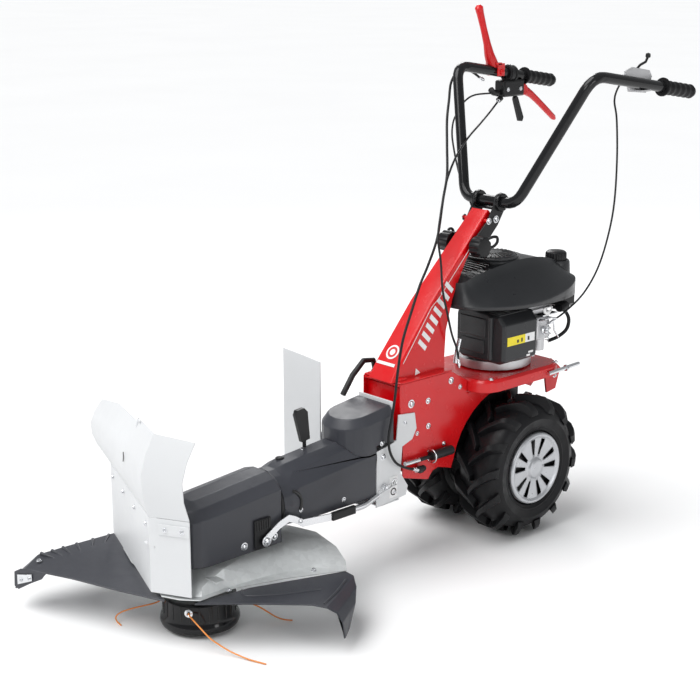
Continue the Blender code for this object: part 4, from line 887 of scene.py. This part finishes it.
def deflector_details():
    bm = bmesh.new()
    strap = [on_near_wing(0.02, 0.229), on_near_wing(0.084, 0.229), on_near_wing(0.086, 0.232),
             on_near_wing(0.086, 0.249), on_near_wing(0.084, 0.252), on_near_wing(0.02, 0.252)]
    add_plate(bm, strap, NEAR_FRONT * 0.002)
    piece("deflector_strap", bm, "white", "head", 35, 0.0006)
    bolts = [(on_wing(s, 0.241), WING_FRONT, 0.0058) for s in (0.022, 0.115, 0.211, 0.304)]
    bolts += [(on_near_wing(s, 0.2405, 0.0034), NEAR_FRONT, 0.0056) for s in (0.034, 0.07)]
    fixings("deflector_bolts", "head", bolts)
    nuts = [(on_wing(s, 0.241, -0.0014), -WING_FRONT, 0.0052) for s in (0.022, 0.115, 0.211, 0.304)]
    fixings("deflector_nuts", "head", nuts=nuts)
    bm = bmesh.new()
    hook = [on_wing(reach, height, -behind) for reach, height, behind in (
        (0.115, 0.39, 0.006), (0.115, 0.412, 0.01), (0.111, 0.424, 0.012),
        (0.103, 0.428, 0.012), (0.096, 0.422, 0.012), (0.096, 0.414, 0.012),
    )]
    add_tube(bm, curve_points(hook, 0.002), 0.0011, 8)
    piece("deflector_hook", bm, "zinc", "head", 60)
    bm = bmesh.new()
    crease = [on_wing(0.135, 0.352, 0.015), on_wing(0.135, 0.342, 0.0152), on_wing(0.139, 0.331, 0.0152)]
    add_tube(bm, curve_points(crease, 0.002), 0.001, 8)
    piece("deflector_slot", bm, "ink", "head", 60)


def guard_point(u, v, z):
    """Guard coordinates to the machine's: u runs across the guard and v forward."""
    across = Vector((math.cos(GUARD_ANGLE), math.sin(GUARD_ANGLE), 0))
    ahead = Vector((math.sin(GUARD_ANGLE), -math.cos(GUARD_ANGLE), 0))
    return across * u + ahead * v + Vector((0, 0, z))


def guard_details():
    """Pressed ribs on the two flaps, the fixings, and the end bracket of the long flap."""
    bm = bmesh.new()
    rib = [(0.1, 0.03), (0.118, 0.052), (0.18, 0.03), (0.25, -0.012)]
    path = [guard_point(u, v, GUARD_TOP) for u, v in rib]
    add_tube(bm, curve_points(path, 0.008), 0.0026, 10)
    edge = [(0.272, 0.046), (0.281, -0.02), (0.284, -0.074)]
    add_tube(bm, curve_points([guard_point(u, v, GUARD_TOP - 0.0018) for u, v in edge], 0.008), 0.0024, 10)
    piece("near_flap_ribs", bm, "grey", "guard", 60)

    bm = bmesh.new()
    rear_edge = [(-0.268, -0.17), (-0.326, -0.092), (-0.366, -0.044)]
    middle = Vector((-0.23, 0.01))
    for k in range(6):
        t = k / 5 * 2
        a, b = Vector(rear_edge[int(min(t, 1.999))]), Vector(rear_edge[int(min(t, 1.999)) + 1])
        spot = a.lerp(b, t - int(min(t, 1.999)))
        inward = (middle - spot).normalized() * 0.05
        low = GUARD_TOP - (0.001 if k > 3 else 0.0)
        path = [guard_point(*(spot + inward * s), low - 0.0018 * s * s) for s in (0.0, 0.33, 0.66, 1.0)]
        add_tube(bm, path, [0.0036, 0.0032, 0.0024, 0.0008], 12)
    piece("far_flap_ripples", bm, "grey", "guard", 60)

    bm = bmesh.new()
    skirt_top = [guard_point(u, v, z) for u, v, z in (
        (-0.394, 0.024, 0.08), (-0.376, 0.031, 0.091), (-0.35, 0.038, 0.0945), (-0.31, 0.0475, 0.095)
    )]
    skirt_low = [guard_point(u, v, z) for u, v, z in (
        (-0.322, 0.0465, 0.08), (-0.352, 0.039, 0.064), (-0.384, 0.029, 0.044), (-0.396, 0.023, 0.048)
    )]
    add_plate(bm, skirt_top + skirt_low, guard_point(0, -0.003, 0))
    piece("far_flap_skirt", bm, "grey", "guard", 35, 0.0008)
    bm = bmesh.new()
    clip = [guard_point(u, v, z) for u, v, z in (
        (-0.384, 0.03, 0.056), (-0.346, 0.041, 0.072), (-0.346, 0.041, 0.086), (-0.384, 0.03, 0.078)
    )]
    add_plate(bm, clip, guard_point(0, 0.0014, 0))
    piece("far_flap_bracket", bm, "zinc", "guard", 35, 0.0004)
    ahead = guard_point(0, 1, 0)
    fixings("guard_bolts", "guard", [
        (guard_point(0.078, 0.046, 0.1012), UP, 0.0062), (guard_point(0.214, -0.085, 0.103), UP, 0.0066),
        (guard_point(-0.152, -0.09, 0.104), UP, 0.006), (guard_point(-0.352, -0.006, 0.0955), UP, 0.0062),
        (guard_point(-0.353, 0.04, 0.076), ahead, 0.005),
        (guard_point(-0.374, 0.034, 0.068), ahead, 0.005),
        (guard_point(0.0, -0.18, 0.1435), UP, 0.006),
    ])
    bm = bmesh.new()
    place = guard_point(0.055, 0.06, 0.128)
    add_box(bm, place - Vector((0.018, 0.01, 0.0015)), place + Vector((0.018, 0.01, 0.0015)))
    piece("deck_bracket", bm, "galvanised", "guard", 35, 0.0005)


def drum_details():
    """Eyelets where the lines leave the drum, and ribs round its wall."""
    bm = bmesh.new()
    for x, y in ((0.0448, -0.0612), (-0.0612, -0.0448), (0.0612, 0.0448)):
        out = Vector((x, y, 0)).normalized()
        spot = out * 0.0738 + Vector((0, 0, 0.056))
        eyelet = [
            (0.0032, 0.0), (0.0085, 0.0), (0.0085, 0.0018), (0.0048, 0.003), (0.0032, 0.0018), (0.0032, 0.0),
        ]
        add_turned(bm, eyelet, spot, out, 20)
    piece("line_eyelets", bm, "zinc", "cutter", 40)
    bm = bmesh.new()
    for k in range(24):
        angle = math.tau * (k + 0.5) / 24
        out = Vector((math.cos(angle), math.sin(angle), 0))
        rib = [out * 0.0738 + Vector((0, 0, z)) for z in (0.034, 0.05, 0.066)]
        add_tube(bm, rib, [0.0012, 0.0016, 0.0012], 8)
    piece("drum_ribs", bm, "gloss", "cutter", 50)


# ---------------------------------------------------------------- engine
def filter_details():
    """Raised panels on the filter housing, its clips and a plain two-colour label."""
    bm = bmesh.new()
    y = FILTER_FRONT
    add_box(bm, (-0.012, y - 0.0022, 0.472), (0.066, y + 0.002, 0.516))
    add_box(bm, (-0.006, y - 0.0022, 0.434), (0.062, y + 0.002, 0.466))
    add_tube(bm, [(0.082, y - 0.001, z) for z in (0.424, 0.45, 0.5, 0.524)], 0.0055, 12)
    add_box(bm, (0.07, y + 0.004, 0.527), (0.104, y + 0.1, 0.531))
    piece("filter_panels", bm, "engine", "chassis", 35, 0.002)
    face = FILTER_X + 0.0003
    for front, wide, look, name in (
        (0.774, 0.06, "yellow", "label_yellow"), (0.8342, 0.0318, "print", "label_white"),
    ):
        bm = bmesh.new()
        add_label(bm, face, front, 0.46, wide, 0.02)
        piece(name, bm, look, "chassis", 30)
    bm = bmesh.new()
    for front, wide, tall in ((0.806, 0.006, 0.007), (0.82, 0.005, 0.009), (0.842, 0.006, 0.009)):
        add_label(bm, face + 0.0004, front, 0.464, wide, tall, 0.0002)
    piece("label_marks", bm, "ink", "chassis", 30)
    bm = bmesh.new()
    for front, low, wide in ((0.846, 0.4335, 0.016), (0.84, 0.4265, 0.012)):
        add_label(bm, face, front, low, wide, 0.0045)
    piece("filter_marks", bm, "print", "chassis", 30)


def shroud_shell():
    """Swept cowl: a crest on each side of a sunk top, hollow flanks and a deep rim at the back."""
    near = [                  # rim x, y and crest x, y, z and rim height
        (0.055, 0.693, 0.04, 0.702, 0.603, 0.008), (0.105, 0.733, 0.056, 0.745, 0.619, 0.007),
        (0.138, 0.795, 0.062, 0.8, 0.629, 0.007), (0.148, 0.87, 0.064, 0.87, 0.636, 0.01),
        (0.141, 0.955, 0.062, 0.945, 0.632, 0.022), (0.11, 1.016, 0.056, 1.005, 0.616, 0.036),
        (0.045, 1.036, 0.03, 1.026, 0.601, 0.04),
    ]
    loops = [[] for row in range(9)]
    for side, part in ((1, near), (-1, near[::-1])):
        for x, y, crest_x, crest_y, crest_z, rim in part:
            edge, crest = Vector((x, y, SHROUD_LOW)), Vector((crest_x, crest_y, crest_z))
            shoulder = edge + Vector((0, 0, rim))
            points = [edge, shoulder]
            for t in (0.06, 0.3, 0.58, 0.82, 1.0):
                spot = shoulder.lerp(crest, t)
                spot.z = shoulder.z + (crest.z - shoulder.z) * (0.55 * t + 0.45 * t ** 2.2)
                points.append(spot)
            inward = Vector((0.0, 0.865, crest.z)) - crest
            points.append(crest + inward.normalized() * 0.004 - UP * 0.0026)
            points.append(Vector((0.0, 0.7 + 0.32 * (crest_y - 0.702) / 0.324, crest.z - 0.001)))
            for loop, point in zip(loops, points):
                loop.append(Vector((side * point.x, point.y, point.z)))
    bm = bmesh.new()
    rows = [[bm.verts.new(p) for p in smooth_loop(loop, 6)] for loop in loops]
    join_rings(bm, rows, capped=False)
    cowl = piece("swept_cowl", bm, "engine", "chassis", 26, 0.0, ("engine_shroud",))
    sheet = cowl.modifiers.new("Solidify", "SOLIDIFY")
    sheet.thickness = 0.0022
    sheet.offset = -1.0


def shroud_details():
    """Vent ribs of the starter cover and slats in front of it."""
    x, y = RECOIL_AT
    bm = bmesh.new()
    for k in range(28):
        angle = math.tau * k / 28
        out = Vector((math.cos(angle), math.sin(angle), 0))
        path = [Vector((x, y, 0.6445)) + out * 0.024, Vector((x, y, 0.6445)) + out * 0.048]
        add_tube(bm, [path[0] + UP * 0.0035, path[1] + UP * 0.001], 0.0016, 8)
    add_ring(bm, (x, y, 0.64), UP, 0.0595, 0.0026, 56)
    add_ring(bm, (x, y, 0.6478), UP, 0.021, 0.0016, 32)
    piece("starter_vents", bm, "engine", "chassis", 50)
    bm = bmesh.new()
    for k in range(7):
        yy = 0.722 + 0.0125 * k
        wide = 0.032 + 0.02 * math.sin(math.pi * (k + 1) / 9)
        zz = 0.6262 + 0.001 * k
        add_tube(bm, [(-wide, yy, zz), (0.0, yy, zz + 0.0015), (wide, yy, zz)], 0.0022, 8)
    piece("shroud_slats", bm, "gloss", "chassis", 50)


def fuel_cap():
    """Ribbed screw cap."""
    bm = bmesh.new()
    profile = [
        (0.0, 0.024, 0.0), (0.002, 0.0255, 0.0017), (0.021, 0.025, 0.0017),
        (0.024, 0.0236, 0.0005), (0.0265, 0.02, 0.0), (0.028, 0.012, 0.0),
    ]
    add_fluted(bm, profile, 48, (False, True), lambda up, x, y: Vector(CAP_AT) + Vector((x, y, up)))
    piece("ribbed_cap", bm, "plastic", "tank_cap", 30, 0.0004, ("fuel_cap",))
    bm = bmesh.new()
    collar = [
        (0.0262, 0.0), (0.0262, -0.03), (0.0345, -0.034), (0.0325, -0.004), (0.03, 0.0), (0.0262, 0.0),
    ]
    add_turned(bm, collar, Vector(CAP_AT) + Vector((0, 0, 0.006)), UP, 40)
    piece("filler_collar", bm, "engine", "chassis", 40)


def engine_hardware():
    """Carburettor linkage, spring, hose, wing nut and cooling fins on the near side."""
    bm = bmesh.new()
    for k in range(7):
        z = 0.438 + 0.013 * k
        add_box(bm, (-0.052, 0.9, z), (0.058, 1.0, z + 0.0035))
    piece("cylinder_fins", bm, "cast", "chassis", 35, 0.0006)
    bm = bmesh.new()
    rod = [(0.112, 0.89, 0.5), (0.126, 0.893, 0.504), (0.128, 0.912, 0.506), (0.128, 0.935, 0.5)]
    add_tube(bm, rod, 0.0022, 8)
    add_tube(bm, [(0.12, 0.93, 0.5), (0.121, 0.934, 0.47), (0.12, 0.95, 0.452)], 0.002, 8)
    coil = []
    for k in range(61):
        angle = math.tau * k / 10
        coil.append((0.124 + 0.0045 * math.cos(angle), 0.905 + 0.0045 * math.sin(angle), 0.45 + 0.0007 * k))
    add_tube(bm, coil, 0.0009, 6)
    add_box(bm, (0.108, 0.884, 0.512), (0.128, 0.936, 0.515))
    plug = [(0, 0), (0.01, 0), (0.01, 0.006), (0.006, 0.008), (0.006, 0.012), (0, 0.012)]
    add_turned(bm, plug, (0.11, 0.907, 0.474), LEFT, 18)
    piece("carburettor_linkage", bm, "zinc", "chassis", 45)
    bm = bmesh.new()
    nut = Vector((0.132, 0.896, 0.515))
    add_turned(bm, [(0, 0), (0.0045, 0), (0.0045, 0.01), (0, 0.011)], nut, UP, 14)
    for side in (1, -1):
        wing = [nut + Vector((0, 0.003 * side, 0.002)), nut + Vector((0, 0.01 * side, 0.008)),
                nut + Vector((0, 0.014 * side, 0.018))]
        add_tube(bm, wing, [0.0026, 0.0036, 0.003], 10, 0.5)
    piece("wing_nut", bm, "print", "chassis", 45)
    bm = bmesh.new()
    hose = [(0.1, 0.948, 0.52), (0.12, 0.962, 0.516), (0.128, 0.975, 0.495), (0.124, 0.975, 0.468),
            (0.112, 0.96, 0.45), (0.098, 0.94, 0.44)]
    add_tube(bm, curve_points(hose, 0.005), 0.0042, 12)
    bulb = [(0, 0), (0.011, 0), (0.012, 0.003), (0.012, 0.024), (0.009, 0.028), (0, 0.028)]
    add_turned(bm, bulb, (0.118, 0.95, 0.522), BACK, 20)
    piece("fuel_hose", bm, "rubber", "chassis", 50)
    bolts = both_sides(0.0626, 1.012, 0.338, 0.0075)
    for x, y, z, radius in (
        (0.08, 0.825, 0.408, 0.007), (0.08, 0.905, 0.408, 0.007), (-0.08, 0.825, 0.408, 0.007),
        (0.103, 0.965, 0.3856, 0.0062), (-0.103, 0.965, 0.3856, 0.0062),
        (0.1, 0.745, 0.3856, 0.0062), (-0.1, 0.745, 0.3856, 0.0062),
    ):
        bolts.append(((x, y, z), UP, radius))
    fixings("engine_bolts", "chassis", bolts)
    bm = bmesh.new()
    for k in range(5):
        add_box(bm, (-0.13, 0.895 + 0.017 * k, 0.445), (-0.1276, 0.903 + 0.017 * k, 0.512))
    piece("muffler_louvres", bm, "black", "chassis", 35, 0.0006)


# ---------------------------------------------------------------- handlebar
def bar_at(side, y):
    along = (y - BAR_BEND.y) / (BAR_REAR.y - BAR_BEND.y)
    place = BAR_BEND.lerp(BAR_REAR, along)
    return Vector((side * place.x, place.y, place.z))


def grip(side):
    """Rubber grip with finger waves, a flange and a rounded end."""
    tag = "left" if side > 0 else "right"
    start, end = bar_at(side, 1.178), bar_at(side, BAR_REAR.y)
    length = (end - start).length
    profile = [(0.0128, 0.0), (0.0205, 0.0), (0.0214, 0.0015), (0.0212, 0.004), (0.018, 0.006)]
    count = 60
    for k in range(count):
        t = k / (count - 1)
        along = 0.008 + (length - 0.014) * t
        wave = 0.5 + 0.5 * math.cos(math.tau * 5 * t)
        profile.append((0.0148 + 0.0017 * wave, along))
    rounded_end = ((0.015, -0.003), (0.0125, 0.003), (0.007, 0.005), (0.0, 0.005))
    profile += [(radius, length + past) for radius, past in rounded_end]
    bm = bmesh.new()
    add_turned(bm, profile, start, end - start, 32)
    piece(f"ribbed_grip_{tag}", bm, "rubber", "handlebar_set", 50, 0.0, (f"grip_{tag}",))


def ribbed_knob():
    """Ribbed clamp knobs on both sides of the bracket, with a loop to turn them by."""
    y, z = KNOB_AT
    bm = bmesh.new()
    profile = [
        (0.0342, 0.0215, 0.0), (0.0365, 0.0238, 0.0026), (0.06, 0.0238, 0.0026),
        (0.0628, 0.021, 0.001), (0.064, 0.012, 0.0),
    ]
    for side in (1, -1):
        add_fluted(
            bm, profile, 40, (True, True, False, False),
            lambda out, a, b, side=side: Vector((side * out, y + a, z + b)),
        )
        loop = [(side * 0.058, y + 0.01, z + 0.016), (side * 0.066, y + 0.02, z + 0.022),
                (side * 0.068, y + 0.033, z + 0.02), (side * 0.066, y + 0.036, z + 0.008),
                (side * 0.06, y + 0.028, z - 0.002), (side * 0.056, y + 0.016, z + 0.0)]
        add_tube(bm, curve_points(loop, 0.003), 0.0034, 10)
    piece("ribbed_knobs", bm, "plastic", "knob", 32, 0.0005, ("clamp_knob",))


def bracket_details():
    """Round caps where the handlebar's tube meets its bracket, and the bracket's bolts."""
    bm = bmesh.new()
    profile = [
        (0.0, -0.007), (0.019, -0.007), (0.0205, -0.005), (0.0205, 0.005), (0.019, 0.007), (0.0, 0.007),
    ]
    for side in (1, -1):
        add_turned(bm, profile, (side * 0.033, BAR_FOOT.y, BAR_FOOT.z), (side, 0, 0), 32)
    piece("tube_caps", bm, "gloss", "handlebar_set", 40, 0.0006)
    bolts = both_sides(0.0432, BAR_FOOT.y, BAR_FOOT.z, 0.0085) + both_sides(BRACKET_X, 0.822, 0.73, 0.0085)
    fixings("bracket_bolts", "handlebar_set", bolts)


def beside_bar(points):
    """Points (y, z) in the upright plane of the right-hand levers."""
    return [(LEVER_X, y, z) for y, z in points]


def clutch_lever():
    """Tall red lever whose forked foot sits over the bar."""
    bm = bmesh.new()
    shank = beside_bar((
        (1.07, 1.04), (1.06, 1.052), (1.051, 1.07), (1.043, 1.095), (1.03, 1.13),
        (1.017, 1.165), (1.0115, 1.18), (1.01, 1.1865),
    ))
    add_tube(bm, shank, [0.0125, 0.014, 0.012, 0.009, 0.008, 0.0088, 0.0102, 0.004], 16)
    pin = [(0, 0), (0.007, 0.0), (0.007, 0.003), (0.005, 0.004), (0, 0.004)]
    for side in (1, -1):
        low = Vector((LEVER_X + side * 0.017 - 0.002, 1.064, 1.018))
        add_box(bm, low, low + Vector((0.004, 0.024, 0.03)))
        add_turned(bm, pin, (LEVER_X + side * 0.0188, 1.078, 1.0275), (side, 0, 0), 20)
    add_box(bm, (LEVER_X - 0.019, 1.06, 1.044), (LEVER_X + 0.019, 1.078, 1.05))
    heel = beside_bar(((1.06, 1.048), (1.052, 1.036), (1.054, 1.02)))
    add_tube(bm, heel, [0.008, 0.007, 0.005], 12)
    piece("cast_clutch_lever", bm, "red", "clutch_control", 45, 0.0008, ("clutch_lever",))


def brake_lever():
    """Red lever under the right-hand grip, on a round hub."""
    bm = bmesh.new()
    hub = [(0.0, -0.012), (0.0125, -0.012), (0.014, -0.009), (0.014, 0.009), (0.0125, 0.012), (0.0, 0.012)]
    add_turned(bm, hub, (LEVER_X, 1.1705, 0.98), LEFT, 24)
    blade = beside_bar((
        (1.1705, 0.98), (1.19, 0.974), (1.208, 0.965), (1.23, 0.9505), (1.262, 0.9275),
        (1.296, 0.9025), (1.303, 0.897),
    ))
    add_tube(bm, blade, [0.01, 0.0105, 0.0088, 0.008, 0.0078, 0.0074, 0.0035], 14)
    piece("cast_brake_lever", bm, "red", "brake_control", 45, 0.0006, ("brake_lever",))


def clamp_details():
    """Bands, cable sockets and screws of the right-hand lever clamp."""
    bm = bmesh.new()
    for y in (1.118, 1.134):
        add_ring(bm, bar_at(-1, y), BAR_REAR - BAR_BEND, 0.0192, 0.0022, 32)
    socket = beside_bar(((1.085, 0.976), (1.07, 0.978), (1.06, 0.986)))
    add_tube(bm, curve_points(socket, 0.004), 0.0075, 12)
    add_tube(bm, beside_bar(((1.098, 0.964), (1.088, 0.958))), 0.007, 12)
    piece("clamp_mouldings", bm, "plastic", "handlebar_set", 50)
    screws = [
        ((LEVER_X + side * 0.017, y, 0.984), (side, 0, 0), 0.005) for side in (1, -1) for y in (1.104, 1.15)
    ]
    screws.append((bar_at(-1, 1.126) + Vector((0, 0, 0.019)), UP, 0.0048))
    fixings("clamp_screws", "handlebar_set", screws)


def throttle_details():
    """Screws, pivot boss and bracket of the throttle, and the ball on its lever."""
    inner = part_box("throttle_body")[0].x
    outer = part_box("throttle_body")[1].x
    spots = ((1.078, 1.046), (1.142, 1.036), (1.128, 1.012), (1.09, 1.014))
    fixings("throttle_screws", "handlebar_set", [((inner, y, z), RIGHT, 0.0048) for y, z in spots])
    bm = bmesh.new()
    boss = [(0, 0), (0.0105, 0.0), (0.0105, 0.002), (0.008, 0.0034), (0, 0.0036)]
    add_turned(bm, boss, (inner, 1.096, 1.04), RIGHT, 24)
    add_disc(bm, 0.006, 0.01, (inner + 0.003, 1.066, 1.04), FORWARD, 12)
    add_box(bm, (inner, 1.098, 1.006), (outer + 0.02, 1.13, 1.01))
    piece("throttle_boss", bm, "cast", "handlebar_set", 40, 0.0004)
    bm = bmesh.new()
    ball = [(0, -0.004), (0.0048, -0.003), (0.006, 0.0), (0.0052, 0.006), (0, 0.008)]
    add_turned(bm, ball, (inner - 0.0045, 1.156, 1.08), UP, 18)
    piece("throttle_tip", bm, "plastic", "throttle_control", 50)


# ---------------------------------------------------------------- assembly
camera()
LOOKS = palette()
studio()
for look_name, (bevel_width, least, names) in CAD_LOOKS.items():
    for node_name in names.split():
        dress(node_name, LOOKS[look_name], bevel_width, least)
for which_side in (1, -1):
    tyre(which_side)
    wheel_cap(which_side)
    wheel_dish(which_side)
    grip(which_side)
trimmer_lines()
cables()
column_marks()
chassis_details()
hitch_details()
cover_details()
deflector_details()
guard_details()
drum_details()
filter_details()
shroud_shell()
shroud_details()
fuel_cap()
engine_hardware()
ribbed_knob()
bracket_details()
clutch_lever()
brake_lever()
clamp_details()
throttle_details()

bpy.context.view_layer.update()
